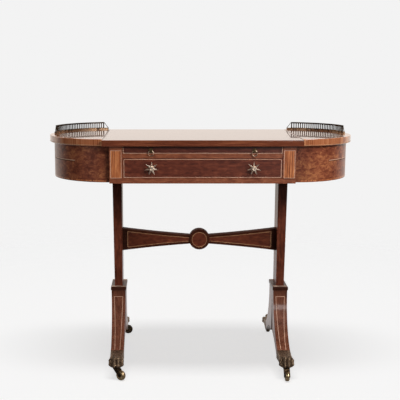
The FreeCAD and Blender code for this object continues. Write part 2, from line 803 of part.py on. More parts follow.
def make_paw(leg):
    """Lion paw cap of the right front leg: a cuff round the ankle, an instep, a pad and a fan of toes."""
    axis = V(0, -size("ankle_drop") / size("sweep_radius"),
             -(size("sweep_y") - size("ankle_y")) / size("sweep_radius"))
    across, upright = V(1, 0, 0), V(0, 0, 1)
    up = across.cross(axis)
    up = up if up.z > 0 else -up
    trestle_x, sole, reach = size("trestle_x"), size("sole_height"), size("paw_reach")
    toe, toes, height = size("toe_radius"), int(size("toe_count")), size("paw_height")
    ankle = V(trestle_x, -size("ankle_y + heel_y") / 2, size("ankle_height + heel_z") / 2)
    cuff_w = size("ankle_width + 2 * cuff_proud")
    cuff_h = size("ankle_thickness + 2 * cuff_proud")
    edge = size("cuff_proud")
    cuff_top = ankle - axis * size("cuff_length")
    cuff = rounded_section(cuff_w + size("cuff_flare"), cuff_h, cuff_top, across, up, edge)
    wrist = rounded_section(cuff_w, cuff_h, ankle, across, up, edge)
    root_y = -(reach - size("toe_length"))
    instep = V(trestle_x, root_y, sole + height / 2)
    knuckle = rounded_section(size("paw_width"), height, instep, across, upright, size("paw_round"))
    front = V(trestle_x, -size("pad_reach"), sole + size("pad_height") / 2)
    pad = rounded_section(size("pad_width"), size("pad_height"), front, across, upright, size("pad_round"))
    paw = Part.makeLoft([cuff, wrist], True, True).fuse(
        [Part.makeLoft([wrist, knuckle], True, True), Part.makeLoft([knuckle, pad], True, True)])
    for number in range(toes):
        steps_out = number - (toes - 1) / 2
        fan = (2 * steps_out / (toes - 1)) ** 2
        root = V(trestle_x + steps_out * size("toe_root_spread"), root_y + toe, sole + height - toe)
        tip = V(trestle_x + steps_out * size("toe_spread"), toe + fan * size("toe_fan") - reach,
                sole + toe + fan * size("toe_rise"))
        bend = V(tip.x, tip.y + size("toe_curl"),
                 sole + size("knuckle_height") - toe - fan * size("knuckle_fall"))
        paw = paw.fuse(make_toe(root, bend, tip, toe))
    bore = Part.makeCylinder(size("spindle_radius + spindle_play"), size("spindle_length + spindle_play"),
                             V(trestle_x, -size("castor_pivot"), sole))
    ground = Part.makeBox(2 * trestle_x, 2 * reach, sole, V(0, -2 * reach, 0))
    paw = paw.cut([ground, bore, leg.Shape]).removeSplitter()
    cap = doc.addObject("Part::Feature", "PawCap")
    cap.Shape = paw
    return cap


def make_castor(name, sign_x, sign_y):
    """Swivelling fork with its riveted axle, and the wheel that runs on it."""
    horn = body("Horn")
    arm = outline(sketch(horn, "XZ_Plane"),
                  [("-swivel_radius / 2", "swivel_bottom"), ("castor_trail - cheek_end", "wheel_radius"),
                   ("castor_trail + cheek_end", "wheel_radius"), ("swivel_radius", "swivel_bottom")],
                  {1: ("cheek_bow", "left")})
    raise_from(horn, "Pad", arm, "fork_width", both=True)
    space = circle(sketch(horn, "XZ_Plane"), "wheel_radius + fork_play", "castor_trail", "wheel_radius")
    raise_from(horn, "Pocket", space, "fork_gap", both=True)
    axle = circle(sketch(horn, "XZ_Plane"), "axle_radius", "castor_trail", "wheel_radius")
    raise_from(horn, "Pad", axle, "fork_width + 2 * fork_play", both=True)
    swivel = circle(sketch(horn, "XY_Plane", "swivel_bottom"), "swivel_radius")
    raise_from(horn, "Pad", swivel, "swivel_thickness")
    spindle = circle(sketch(horn, "XY_Plane", "swivel_top"), "spindle_radius")
    raise_from(horn, "Pad", spindle, "spindle_length + swivel_play - spindle_play")
    wheel = body("Wheel")
    tread = outline(sketch(wheel, "YZ_Plane", "castor_trail"),
                    [("-wheel_width / 2", "wheel_radius + axle_radius + wheel_play"),
                     ("-wheel_width / 2", "2 * wheel_radius - wheel_crown"),
                     ("wheel_width / 2", "2 * wheel_radius - wheel_crown"),
                     ("wheel_width / 2", "wheel_radius + axle_radius + wheel_play")],
                    {1: ("(wheel_width ^ 2 / 4 + wheel_crown ^ 2) / (2 * wheel_crown)", "right")})
    hub_ends = [V(side * size("wheel_width"), size("wheel_radius"), 0) for side in (-1, 1)]
    hub = tread.addGeometry(Part.LineSegment(*hub_ends), True)
    tread.addConstraint(Sketcher.Constraint("Horizontal", hub))
    fix_point(tread, hub, 1, "-wheel_width", "wheel_radius")
    dimension(tread, Sketcher.Constraint("DistanceX", -1, 1, hub, 2, size("wheel_width")), "wheel_width")
    turn = wheel.newObject("PartDesign::Revolution", "WheelTurn")
    turn.Profile = tread
    turn.ReferenceAxis = (tread, ["Axis0"])
    turn.Angle = 360
    doc.recompute()
    for piece, kind in ((horn, "horn"), (wheel, "wheel")):
        piece.Placement = FreeCAD.Placement(V(), FreeCAD.Rotation(V(0, 0, 1), 0))
        piece.setExpression("Placement.Rotation.Angle", tie(f"{name}_turn"))
        place(piece, f"{sign_x} * trestle_x", f"{sign_y} * castor_pivot")
        node(piece, f"castor_{kind}_{name}")


def gallery_sector(centre, radius, width, start, stop, low, high):
    """Piece of a curved strip about an upright axis, with angles in radians."""
    inner, outer = radius - width / 2, radius + width / 2

    def at(r, angle):
        return centre + V(r * math.cos(angle), r * math.sin(angle), low)

    middle = (start + stop) / 2
    edges = [Part.Arc(at(outer, start), at(outer, middle), at(outer, stop)).toShape(),
             Part.LineSegment(at(outer, stop), at(inner, stop)).toShape(),
             Part.Arc(at(inner, stop), at(inner, middle), at(inner, start)).toShape(),
             Part.LineSegment(at(inner, start), at(outer, start)).toShape()]
    return Part.Face(Part.Wire(edges)).extrude(V(0, 0, high - low))


def make_galleries():
    """Pierced brass strip on a base moulding, from the back joint round to a ramp at the far end."""
    reach, side, spring = size("rim_reach"), size("rim_side"), size("end_spring")
    shoulder = min(reach, side) - size("end_flatness")
    flat = (reach ** 2 + side ** 2 - 2 * side * shoulder) / (2 * (reach - shoulder))
    flat_centre, back_centre = V(spring + reach - flat, 0, 0), V(spring, side - shoulder, 0)
    inset = size("gallery_inset")
    change = math.atan2(side - shoulder, spring - flat_centre.x)
    back_radius, flat_radius = shoulder - inset, flat - inset
    joint = max(0, size("half_middle + top_joint + gallery_base_width") - spring)
    first = math.acos(joint / back_radius)
    last = -math.radians(size("gallery_turn"))
    back_length = back_radius * (first - change)
    whole = back_length + flat_radius * (change - last)

    def arc_at(length):
        if length < back_length:
            return back_centre, back_radius, first - length / back_radius
        return flat_centre, flat_radius, change - (length - back_length) / flat_radius

    def strip(begin, end, width, low, high):
        """Strip between two lengths along the rim, in one or two arcs."""
        stops = [begin, end]
        if begin < back_length < end:
            stops.insert(1, back_length)
        parts = []
        for start, stop in zip(stops, stops[1:]):
            centre, radius, _ = arc_at((start + stop) / 2)
            anchor, origin = (first, 0) if radius == back_radius else (change, back_length)
            angles = [anchor - (length - origin) / radius for length in (start, stop)]
            parts.append(gallery_sector(centre, radius, width, angles[1], angles[0], low, high))
        return parts[0] if len(parts) == 1 else parts[0].fuse(parts[1:]).removeSplitter()

    foot = size("rim_height")
    base_top = foot + size("gallery_base_height")
    rail_top = foot + size("gallery_height")
    rail_low = rail_top - size("gallery_rail_height")
    wall, ramp = size("gallery_thickness"), size("gallery_ramp")
    base = strip(0, whole, size("gallery_base_width"), foot, base_top)

    slot_w, pitch = size("slot_width"), size("slot_pitch")
    slot_low = base_top + size("slot_margin") / 2
    slot_spring = rail_low - size("slot_margin") - slot_w / 2
    count = int((whole - 2 * ramp) / pitch)

    def slot(length):
        centre, radius, angle = arc_at(length)
        box = Part.makeBox(slot_w, 2 * wall, slot_spring - slot_low, V(-slot_w / 2, -wall, slot_low))
        arch = Part.makeCylinder(slot_w / 2, 2 * wall, V(0, -wall, slot_spring), V(0, 1, 0))
        cutter = box.fuse(arch)
        cutter.Placement = FreeCAD.Placement(
            centre + V(radius * math.cos(angle), radius * math.sin(angle), 0),
            FreeCAD.Rotation(V(0, 0, 1), math.degrees(angle) + 90))
        return cutter

    lengths = int(size("gallery_lengths"))
    margin = (whole - 2 * ramp - count * pitch) / 2
    bounds = [ramp + margin + round(count * n / lengths) * pitch for n in range(lengths + 1)]
    bounds[0], bounds[-1] = ramp, whole - ramp
    pieces = []
    for number in range(lengths):
        begin, end = bounds[number], bounds[number + 1]
        web = strip(begin, end, wall, base_top, rail_low)
        middles = [ramp + margin + (n + 0.5) * pitch for n in range(count)]
        web = web.cut([slot(m) for m in middles if begin < m < end])
        rail = strip(begin, end, size("gallery_rail_width"), rail_low, rail_top)
        pieces.append(web.fuse(rail))
    for begin, end in ((0, ramp), (whole, whole - ramp)):
        pieces.append(gallery_ramp(arc_at, begin, end, base_top, rail_top))
    strips = doc.addObject("Part::Feature", "GalleryStrip")
    strips.Shape = Part.makeCompound(pieces)
    node(mirror(strips), "gallery_left")
    node(strips, "gallery_right")
    moulding = doc.addObject("Part::Feature", "GalleryBase")
    moulding.Shape = base
    node(mirror(moulding), "gallery_base_left")
    node(moulding, "gallery_base_right")


def gallery_ramp(arc_at, begin, end, low, high):
    """Raking bar that closes a gallery, from its foot up to the end of the rail."""
    def at(length, height):
        centre, radius, angle = arc_at(length)
        return centre + V(radius * math.cos(angle), radius * math.sin(angle), height)

    bar = size("gallery_rail_height")
    foot, head = at(begin, low), at(end, high)
    inward = V(head.x - foot.x, head.y - foot.y, 0).normalize() * bar
    corners = [foot, foot + inward, head - V(0, 0, bar), head]
    plate = Part.Face(Part.makePolygon(corners + corners[:1]))
    across = (corners[3] - corners[0]).cross(V(0, 0, 1)).normalize() * size("gallery_thickness")
    bar_solid = plate.extrude(across)
    bar_solid.translate(across * -0.5)
    return bar_solid


def make_feet(leg):
    doc.recompute()
    paw = make_paw(leg)
    back = mirror(paw, "y")
    node(group(mirror(paw), paw, mirror(back), back), "paw_caps")
    for name, sign_x, sign_y in (("front_left", -1, -1), ("front_right", 1, -1), ("back_left", -1, 1),
                                 ("back_right", 1, 1)):
        make_castor(name, sign_x, sign_y)


def write_parts():
    doc.recompute()
    for piece in doc.Objects:
        if {"Invalid", "Error"} & set(piece.State):
            raise RuntimeError(f"{piece.Name} failed")
    for piece in nodes:
        if piece.Shape.isNull() or not piece.Shape.isValid():
            raise RuntimeError(f"{piece.Label} has no valid shape")
    os.makedirs("parts", exist_ok=True)
    for piece in nodes:
        piece.Shape.exportStep(f"parts/{piece.Label}.step")
        print(piece.Label, len(piece.Shape.Solids), round(piece.Shape.Volume))


make_top()
make_end_frieze()
make_carcase()
make_slide()
make_drawer()
front_leg = make_trestles()
make_stretcher()
make_feet(front_leg)
make_galleries()
write_parts()
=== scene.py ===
# %% [markdown]
# # A writing table in polished mahogany and brass
# The table stands on two trestles with sabre legs, brass paws and castors. Its solids come ready
# made as a frame that must not move. This lesson dresses that frame: it gives each solid a finish,
# lets thin lines of pale wood into the surfaces, and sets up the light and the camera.

# %% Load the frame
import math

import bmesh
import bpy
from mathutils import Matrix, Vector


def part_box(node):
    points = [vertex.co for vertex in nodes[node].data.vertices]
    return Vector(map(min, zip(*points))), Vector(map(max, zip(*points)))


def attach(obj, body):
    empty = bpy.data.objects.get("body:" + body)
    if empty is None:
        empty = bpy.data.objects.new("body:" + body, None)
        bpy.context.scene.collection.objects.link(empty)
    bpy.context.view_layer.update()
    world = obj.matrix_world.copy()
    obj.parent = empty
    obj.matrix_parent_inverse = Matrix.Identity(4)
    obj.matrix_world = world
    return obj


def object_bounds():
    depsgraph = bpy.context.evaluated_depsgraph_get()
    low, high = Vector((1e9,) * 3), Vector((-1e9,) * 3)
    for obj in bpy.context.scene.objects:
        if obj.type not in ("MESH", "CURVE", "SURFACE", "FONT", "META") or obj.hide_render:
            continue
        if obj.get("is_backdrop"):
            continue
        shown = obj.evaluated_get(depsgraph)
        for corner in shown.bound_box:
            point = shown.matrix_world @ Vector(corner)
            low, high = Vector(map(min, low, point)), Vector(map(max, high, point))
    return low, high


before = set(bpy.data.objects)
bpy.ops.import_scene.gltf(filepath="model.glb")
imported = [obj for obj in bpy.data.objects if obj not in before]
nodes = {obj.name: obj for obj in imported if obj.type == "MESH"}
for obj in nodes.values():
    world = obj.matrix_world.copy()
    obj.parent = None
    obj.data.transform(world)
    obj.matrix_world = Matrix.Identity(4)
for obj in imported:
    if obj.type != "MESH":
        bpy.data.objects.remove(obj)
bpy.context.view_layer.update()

MM = 0.001

# %% [markdown]
# ## Small tools for materials
# A finish on real furniture is several things at once: colour, figure, pores and polish. In
# Blender each of them is a chain of nodes. One short function adds a node, sets its options and
# fills or links its inputs, so that a material below reads like a recipe. Patterns are measured in
# millimetres on the object itself, so they keep their size and stay in place from every side.

# %% Colours and nodes
def colour(code):
    """Linear colour of an sRGB hex value."""
    parts = [int(code[at:at + 2], 16) / 255 for at in (1, 3, 5)]
    linear = [p / 12.92 if p <= 0.04045 else ((p + 0.055) / 1.055) ** 2.4 for p in parts]
    return (*linear, 1.0)


def add(tree, kind, inputs=None, stops=None, **settings):
    """Add a node, with its settings, its inputs as values or links, and the stops of a ramp."""
    made = tree.nodes.new("ShaderNode" + kind)
    for key, value in settings.items():
        setattr(made, key, value)
    for key, value in (inputs or {}).items():
        if isinstance(value, bpy.types.NodeSocket):
            tree.links.new(value, made.inputs[key])
        else:
            made.inputs[key].default_value = value
    for number, (position, code) in enumerate(stops or []):
        ramp = made.color_ramp.elements
        stop = ramp[number] if number < 2 else ramp.new(position)
        stop.position = position
        stop.color = colour(code)
    return made


print("boxwood colour in linear light:", [round(c, 3) for c in colour("#c99e84")])


# %% Materials and pattern cells
def new_material(name, **sockets):
    """A material with its main shader; sockets that are the same all over are set on it."""
    material = bpy.data.materials.new(name)
    material.use_nodes = True
    tree = material.node_tree
    tree.nodes.clear()
    shader = add(tree, "BsdfPrincipled", {key.replace("_", " "): v for key, v in sockets.items()})
    add(tree, "OutputMaterial", {"Surface": shader.outputs["BSDF"]})
    return material, tree, shader


def cells(tree, size_mm):
    """Place on the object, counted in pattern cells of a size in millimetres along X, Y and Z."""
    place = add(tree, "TexCoord").outputs["Object"]
    counts = [1 / (MM * side) for side in size_mm]
    return add(tree, "Mapping", {"Vector": place, "Scale": counts}).outputs["Vector"]


def surface(tree, shader, look, gloss, dents):
    """Link colour, roughness and bump to the main shader."""
    for socket, value in (("Base Color", look), ("Roughness", gloss), ("Normal", dents)):
        tree.links.new(value, shader.inputs[socket])


print("tools for materials: colour, add, new_material, cells and surface")

# %% [markdown]
# ## Polished wood
# Mahogany here is veneer or solid board under French polish: shellac rubbed on until it shines
# like glass. The eye sees broad clouds of colour, streaks along the grain, fine dark pores and a
# clear reflection on top. A picture of wood could be wrapped round each piece, but it would show
# seams and stretch on the curves. So the clouds and streaks are noise stretched along the grain,
# the pores are a finer noise that also makes a slight bump, and the polish is the shader's coat.
# Real pores are a tenth of a millimetre wide. They are drawn about ten times coarser, so that they
# show at all.

# %% Wood pattern
PORE_MM = 1.1
PORE_RUN = 12
PORE_EDGE = (0.3, 0.45)
PORE_TONE = 0.72
STREAK_RUN = 25
WOOD_STOPS = (0.34, 0.5, 0.66)


def stretched(along, across_mm, run):
    """Cell of a pattern that is a number of times longer along the grain than across it."""
    return [run * across_mm if axis == along else across_mm for axis in "xyz"]


def wood_colour(tree, tones, along, cloud_mm, streak_mm, streak_share, cloud_run):
    """Colour, pores and streaks of a board whose grain runs along an axis."""
    cloud = add(tree, "TexNoise", {"Vector": cells(tree, stretched(along, cloud_mm, cloud_run)),
                                   "Scale": 1.0, "Detail": 4.0, "Roughness": 0.68,
                                   "Distortion": 0.6})
    streak = add(tree, "TexNoise", {"Vector": cells(tree, stretched(along, streak_mm, STREAK_RUN)),
                                    "Scale": 1.0, "Detail": 5.0, "Roughness": 0.6})
    pores = add(tree, "TexNoise", {"Vector": cells(tree, stretched(along, PORE_MM, PORE_RUN)),
                                   "Scale": 1.0, "Detail": 2.0})
    figure = add(tree, "MixRGB", {"Fac": streak_share, "Color1": cloud.outputs["Fac"],
                                  "Color2": streak.outputs["Fac"]})
    ramp = add(tree, "ValToRGB", {"Fac": figure.outputs["Color"]}, stops=zip(WOOD_STOPS, tones))
    darker = add(tree, "MapRange", {"Value": pores.outputs["Fac"], "From Min": PORE_EDGE[0],
                                    "From Max": PORE_EDGE[1], "To Min": PORE_TONE, "To Max": 1.0})
    toned = add(tree, "MixRGB", {"Fac": 1.0, "Color1": ramp.outputs["Color"],
                                 "Color2": darker.outputs["Result"]}, blend_type="MULTIPLY")
    return toned.outputs["Color"], pores.outputs["Fac"], streak.outputs["Fac"]


print("pores:", PORE_MM, "mm wide and", round(PORE_RUN * PORE_MM, 1), "mm long")

# %% [markdown]
# ## Polish and painted shade
# Shellac lies unevenly, so the gloss follows the streaks a little. Shade that falls on wood in
# sheltered places is painted into its colour. That could be painted by hand, but every such place
# here lies along a straight way, so a recipe names an axis and two places on it, between which the
# colour falls to a share of itself.

# %% Polish and painted shade
POLISH = {"Coat_Weight": 0.5, "Coat_Roughness": 0.06, "Coat_IOR": 1.5}
POLISHED = (0.24, 0.36)
PORE_DEPTH = 0.1 * MM


def finish_wood(tree, shader, look, pores, streak, rough):
    """Link a wood pattern to the shader: colour, uneven gloss and open pores."""
    gloss = add(tree, "MapRange", {"Value": streak, "To Min": rough[0], "To Max": rough[1]})
    dents = add(tree, "Bump", {"Height": pores, "Strength": 0.15, "Distance": PORE_DEPTH})
    surface(tree, shader, look, gloss.outputs["Result"], dents.outputs["Normal"])


def darkened(tree, look, axis, start, end, share):
    """Painted shade: colour that falls to a share of itself between two distances or heights."""
    place = add(tree, "SeparateXYZ", {"Vector": add(tree, "TexCoord").outputs["Object"]})
    away = add(tree, "Math", {0: place.outputs[axis]}, operation="ABSOLUTE")
    dim = add(tree, "MapRange", {"Value": away.outputs["Value"], "From Min": start, "From Max": end,
                                 "To Min": 1.0, "To Max": share})
    toned = add(tree, "MixRGB", {"Fac": 1.0, "Color1": look, "Color2": dim.outputs["Result"]},
                blend_type="MULTIPLY")
    return toned.outputs["Color"]


print("French polish: coat", POLISH["Coat_Weight"], "with an index of", POLISH["Coat_IOR"])

# %% Wood recipe
CLOUD_RUN = 2.5


def wood(name, tones, along, cloud_mm, streak_mm, streak_share=0.5, polish=POLISH, rough=POLISHED,
         cloud_run=CLOUD_RUN, painted_shade=None):
    """Wood with a dark, a middle and a light tone, a grain direction and a polish."""
    material, tree, shader = new_material(name, **polish)
    look, pores, streak = wood_colour(tree, tones, along, cloud_mm, streak_mm, streak_share,
                                      cloud_run)
    if painted_shade:
        look = darkened(tree, look, *painted_shade)
    finish_wood(tree, shader, look, pores, streak, rough)
    print("wood:", name)
    return material


print("clouds of colour run", CLOUD_RUN, "times as far along the grain as across it")

# %% [markdown]
# ## The top and frieze
# The top and rails are long-grained mahogany, the drawer is a darker cut of it, and the panels on
# the pilasters are straight-grained and orange. Each could have its own chain of nodes, but they
# differ only in tone, grain direction and polish, so one recipe makes them all. The top has the
# finest polish, a mirror.

# %% Mahogany of the top and frieze
MIRROR = {"Coat_Weight": 0.8, "Coat_Roughness": 0.03, "Coat_IOR": 1.5}
GLASSY = (0.1, 0.16)
TOP_TONES = ("#482014", "#6c3723", "#8b5034")
TOP_RUN = 7
# Long-grained mahogany under a mirror polish: red-brown in front, a pale mirror along the top.
top_wood = wood("mahogany_top", TOP_TONES, "x", cloud_mm=22, streak_mm=2.6, streak_share=0.55,
                polish=MIRROR, rough=GLASSY, cloud_run=TOP_RUN)
# The same veneer with its grain across the table, in the fields of the rounded ends.
field_top_wood = wood("mahogany_end_field", TOP_TONES, "y", cloud_mm=20, streak_mm=2.6,
                      streak_share=0.55, polish=MIRROR, rough=GLASSY, cloud_run=TOP_RUN)
# Straight rails of mahogany: warm red-brown with fine streaks from end to end.
rail_wood = wood("mahogany_rail", ("#592a1b", "#7d442c", "#9a5e40"), "x", cloud_mm=10,
                 streak_mm=2.4, streak_share=0.4)
# Dark mahogany with a cloudy figure: the drawer looks nearly plum-coloured between its pale lines.
drawer_wood = wood("mahogany_drawer", ("#3d170f", "#5b291b", "#793e2a"), "x", cloud_mm=10,
                   streak_mm=2.6, streak_share=0.3)
# The slide's front edge: the same cut, darker still, from painted shade under the top's overhang.
shaded_lip_wood = wood("mahogany_slide_edge_painted_shade", ("#37150d", "#4b2016", "#612f21"), "x", cloud_mm=10,
                streak_mm=2.6, streak_share=0.3)
# Plain mahogany board, waxed to a shine: a darker and quieter brown than the rails.
slide_wood = wood("mahogany_slide", ("#4d2117", "#66321f", "#7d452f"), "x", cloud_mm=24,
                  streak_mm=2.2, streak_share=0.4)
# Satinwood veneer laid upright: orange, with thin dark stripes that catch the light.
pilaster_wood = wood("satinwood_panel", ("#4e2412", "#9f5832", "#d08a56"), "z", cloud_mm=9,
                     streak_mm=3.6, streak_share=0.9)

# %% [markdown]
# ## The trestles
# Uprights, legs and stretcher are mahogany with plainer finishes than the top, from satin and wax
# to worn, dry wood, so they mirror less. Shade is painted into their colour: the uprights darken
# under the top, the legs under their caps and the stretcher towards the uprights. Darker boards
# would show a joint there, so the painted shade fades in instead.

# %% Mahogany of the trestles
SATIN = {"Coat_Weight": 0.15, "Coat_Roughness": 0.2, "Specular_IOR_Level": 0.3}
WAXED = {"Coat_Weight": 0.36, "Coat_Roughness": 0.11, "Specular_IOR_Level": 0.08}
DULL = {"Coat_Weight": 0.0, "Specular_IOR_Level": 0.14}
WORN = {"Coat_Weight": 0.0, "Specular_IOR_Level": 0.02}
# Mahogany stained dark, with painted shade that makes the uprights almost black under the top.
POST_PAINTED_SHADE = ("Z", 460 * MM, 600 * MM, 0.5)
upright_wood = wood("mahogany_upright", ("#371810", "#582b1d", "#743d2a"), "z", cloud_mm=14,
                    streak_mm=2.6, streak_share=0.45, polish=DULL, painted_shade=POST_PAINTED_SHADE)
# Solid mahogany of the sabre legs: red, with the grain running down to the paw.
# Painted shade: the legs darken just under their caps.
LEG_PAINTED_SHADE = ("Z", 205 * MM, 237 * MM, 0.6)
leg_wood = wood("mahogany_leg", ("#3e2015", "#663b2b", "#855440"), "z", cloud_mm=20, streak_mm=2.2,
                polish=WAXED, rough=(0.3, 0.42), painted_shade=LEG_PAINTED_SHADE)
# End grain and moulding of the caps: darker, as polish gathers there, and dull from wear.
cap_wood = wood("mahogany_cap", ("#26110a", "#371b12", "#49281d"), "y", cloud_mm=14, streak_mm=2.2,
                streak_share=0.4, polish=DULL)
# Dark-stained mahogany round the stretcher's edges: a brown frame for the lighter field.
arm_wood = wood("mahogany_margin", ("#2e150d", "#3f1f14", "#512c1f"), "x", cloud_mm=14,
                streak_mm=2.0, polish=WORN, rough=(0.45, 0.6))
# Figured mahogany in the stretcher's fields: small dark flecks on red-brown.
# Painted shade: the fields darken towards the uprights.
ARM_PAINTED_SHADE = ("X", 100 * MM, 240 * MM, 0.6)
field_wood = wood("mahogany_stretcher", ("#451b10", "#602d1c", "#7c422a"), "x", cloud_mm=8,
                  streak_mm=2.0, streak_share=0.3, polish=SATIN, painted_shade=ARM_PAINTED_SHADE)
# Pear wood stained to look like ebony: a nearly black band that ends the field.
ebony = wood("ebonised_pearwood", ("#22110b", "#2f1811", "#3d2118"), "x", cloud_mm=16,
             streak_mm=2.0, polish=WORN)

# %% [markdown]
# ## Stringing and inside woods
# Boxwood, cut in thin strips for the pale lines, is so dense that its grain hardly shows, and old
# strips are dry and matt. Inside, the carcase is pine and the drawer box oak. A plain colour could
# do for boards that hardly show, but the drawer opens, so they come from the same recipe. Nobody
# polished what stays out of sight, so these boards have no coat and a rough surface.

# %% Boxwood, pine and oak
BARE = {"Coat_Weight": 0.0}
SCRAPED = (0.35, 0.5)
# Boxwood in thin strips: dense and even, a pinkish tan line on the dark wood.
boxwood = wood("boxwood_line", ("#b0846c", "#c99e84", "#dab49c"), "x", cloud_mm=30, streak_mm=3.0,
               polish=BARE, rough=SCRAPED)
# The same strip, darkened by stain: a quiet tan line that only just shows.
tan_line = wood("stained_boxwood", ("#8f6444", "#ad7f5a", "#c4946a"), "x", cloud_mm=30,
                streak_mm=3.0, polish=BARE, rough=SCRAPED)
# Sawn and planed pine inside the carcase: pale yellow, dull, with soft streaks.
pine = wood("pine_carcase", ("#a07a4c", "#b58d5c", "#c79f6d"), "y", cloud_mm=22, streak_mm=3.0,
            streak_share=0.6, polish=BARE, rough=(0.6, 0.75))
# Thin planed oak of the drawer box: light brown with short dark pores, never polished.
oak = wood("oak_lining", ("#8c6a43", "#a07d52", "#b29062"), "y", cloud_mm=16, streak_mm=2.0,
           streak_share=0.65, polish=BARE, rough=(0.55, 0.7))

# %% [markdown]
# ## Burr veneer
# A burr is a knotty growth, so its veneer has no straight grain at all: dark eyes sit in swirls of
# lighter wood. The wood recipe can't give that. Warped cells from a Voronoi pattern give the eyes,
# noise that is itself displaced by noise gives the swirls between them, and a slow noise lets whole
# patches be lighter or darker. Beside the pilasters shade is painted in, so it is darker there.

# %% Burr
BURR_RUN = 1.7
BURR_STOPS = (0.38, 0.5, 0.62)
PATCH_MM = [80, 80, 50]
PATCH_SHARE = 0.25
EYE_EDGE = (0.05, 0.4)
EYE_TONE = 0.62
# Painted shade beside the pilasters: the veneer darkens towards the middle of the table.
BURR_PAINTED_SHADE = ("X", 350 * MM, 285 * MM, 0.7)


def burr(name, tones, eye_mm, swirl_mm):
    """Burr veneer with eyes and swirls of given sizes, drawn out a little along the frieze."""
    material, tree, shader = new_material(name, **SATIN)
    place = cells(tree, [BURR_RUN * swirl_mm, BURR_RUN * swirl_mm, swirl_mm])
    drift = add(tree, "TexNoise", {"Vector": place, "Scale": 1.0, "Detail": 3.0})
    warp = add(tree, "VectorMath", {0: place, 1: drift.outputs["Color"]}, operation="ADD")
    swirl = add(tree, "TexNoise", {"Vector": warp.outputs["Vector"], "Scale": 1.0, "Detail": 7.0,
                                   "Roughness": 0.66, "Distortion": 0.9})
    patch = add(tree, "TexNoise", {"Vector": cells(tree, PATCH_MM), "Scale": 1.0, "Detail": 2.0})
    figure = add(tree, "MixRGB", {"Fac": PATCH_SHARE, "Color1": swirl.outputs["Fac"],
                                  "Color2": patch.outputs["Fac"]})
    eyes = add(tree, "TexVoronoi", {"Vector": warp.outputs["Vector"], "Scale": swirl_mm / eye_mm})
    dark = add(tree, "MapRange", {"Value": eyes.outputs["Distance"], "From Min": EYE_EDGE[0],
                                  "From Max": EYE_EDGE[1], "To Min": EYE_TONE, "To Max": 1.0})
    ramp = add(tree, "ValToRGB", {"Fac": figure.outputs["Color"]}, stops=zip(BURR_STOPS, tones))
    toned = add(tree, "MixRGB", {"Fac": 1.0, "Color1": ramp.outputs["Color"],
                                 "Color2": dark.outputs["Result"]}, blend_type="MULTIPLY")
    look = darkened(tree, toned.outputs["Color"], *BURR_PAINTED_SHADE)
    finish_wood(tree, shader, look, eyes.outputs["Distance"], swirl.outputs["Fac"], POLISHED)
    print("burr:", name)
    return material


# Burr mahogany, polished: a fine brown mottle with dark eyes, quieter than the straight grain.
end_burr = burr("burr_veneer", ("#56281a", "#7b412c", "#a36641"), eye_mm=4, swirl_mm=11)

# %% [markdown]
# ## Crossbanding
# Round the D shaped ends the veneer is laid with its grain across the edge, in short pieces. So
# the streaks on the rim stand upright, and on the flat they point at the middle of the D. Grain
# along one axis would slant on the curve, so the pattern is read along the rim: the angle about the
# D's centre, times its radius.

# %% Start of the curve
post_low, post_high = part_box("pilaster_front_right")
rim_low, rim_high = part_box("top_end_right")
# A short straight run beside the pilaster comes before the curve.
END_STRAIGHT = 4 * MM
SPRING_X = post_high.x + END_STRAIGHT
print("the D's curve starts", round(SPRING_X / MM, 1), "mm from the middle of the table")

# %% Crossbanded ends
BAND_STREAK_MM = 2.6
BAND_PIECE_MM = 34
BAND_STREAK_SHARE = 0.5
BAND_ROUGH = (0.08, 0.14)


def crossband(name, tones):
    """Veneer in short pieces, with its grain across the rim of a D."""
    material, tree, shader = new_material(name, **MIRROR)
    place = add(tree, "SeparateXYZ", {"Vector": add(tree, "TexCoord").outputs["Object"]})
    ahead = add(tree, "Math", {0: place.outputs["X"]}, operation="ABSOLUTE")
    past = add(tree, "Math", {0: ahead.outputs["Value"], 1: SPRING_X}, operation="SUBTRACT")
    angle = add(tree, "Math", {0: place.outputs["Y"], 1: past.outputs["Value"]},
                operation="ARCTAN2")
    around = add(tree, "Math", {0: angle.outputs["Value"], 1: rim_high.y}, operation="MULTIPLY")
    run = around.outputs["Value"]
    fine = add(tree, "Math", {0: run, 1: 1 / (BAND_STREAK_MM * MM)}, operation="MULTIPLY")
    broad = add(tree, "Math", {0: run, 1: 1 / (BAND_PIECE_MM * MM)}, operation="MULTIPLY")
    streak = add(tree, "TexNoise", {"W": fine.outputs["Value"], "Scale": 1.0, "Detail": 4.0},
                 noise_dimensions="1D")
    piece = add(tree, "TexNoise", {"W": broad.outputs["Value"], "Scale": 1.0, "Detail": 1.0},
                noise_dimensions="1D")
    figure = add(tree, "MixRGB", {"Fac": BAND_STREAK_SHARE, "Color1": piece.outputs["Fac"],
                                  "Color2": streak.outputs["Fac"]})
    ramp = add(tree, "ValToRGB", {"Fac": figure.outputs["Color"]}, stops=zip(WOOD_STOPS, tones))
    pores = add(tree, "TexNoise", {"Vector": cells(tree, stretched("z", PORE_MM, PORE_RUN)),
                                   "Scale": 1.0})
    finish_wood(tree, shader, ramp.outputs["Color"], pores.outputs["Fac"], streak.outputs["Fac"],
                BAND_ROUGH)
    print("crossbanding:", name)
    return material


# Satinwood crossbanding: short upright stripes of tan and orange round the rim.
end_band = crossband("crossbanded_rim", ("#6e371f", "#a0603e", "#c98d60"))

# %% [markdown]
# ## Brass
# The pierced gallery is sheet brass and the paws are cast, and both have gone brown, while the
# wheels and the star knobs are rubbed bright by use. A metal's colour is its reflection, so dirt
# painted over bright metal would look like a film. The patina is a darker, rougher metal instead,
# mixed in by noise.

# %% Brass recipe
PATINA_EDGE = 0.12
PATINA_DULLNESS = 0.25
DENT_DEPTH = 0.2 * MM


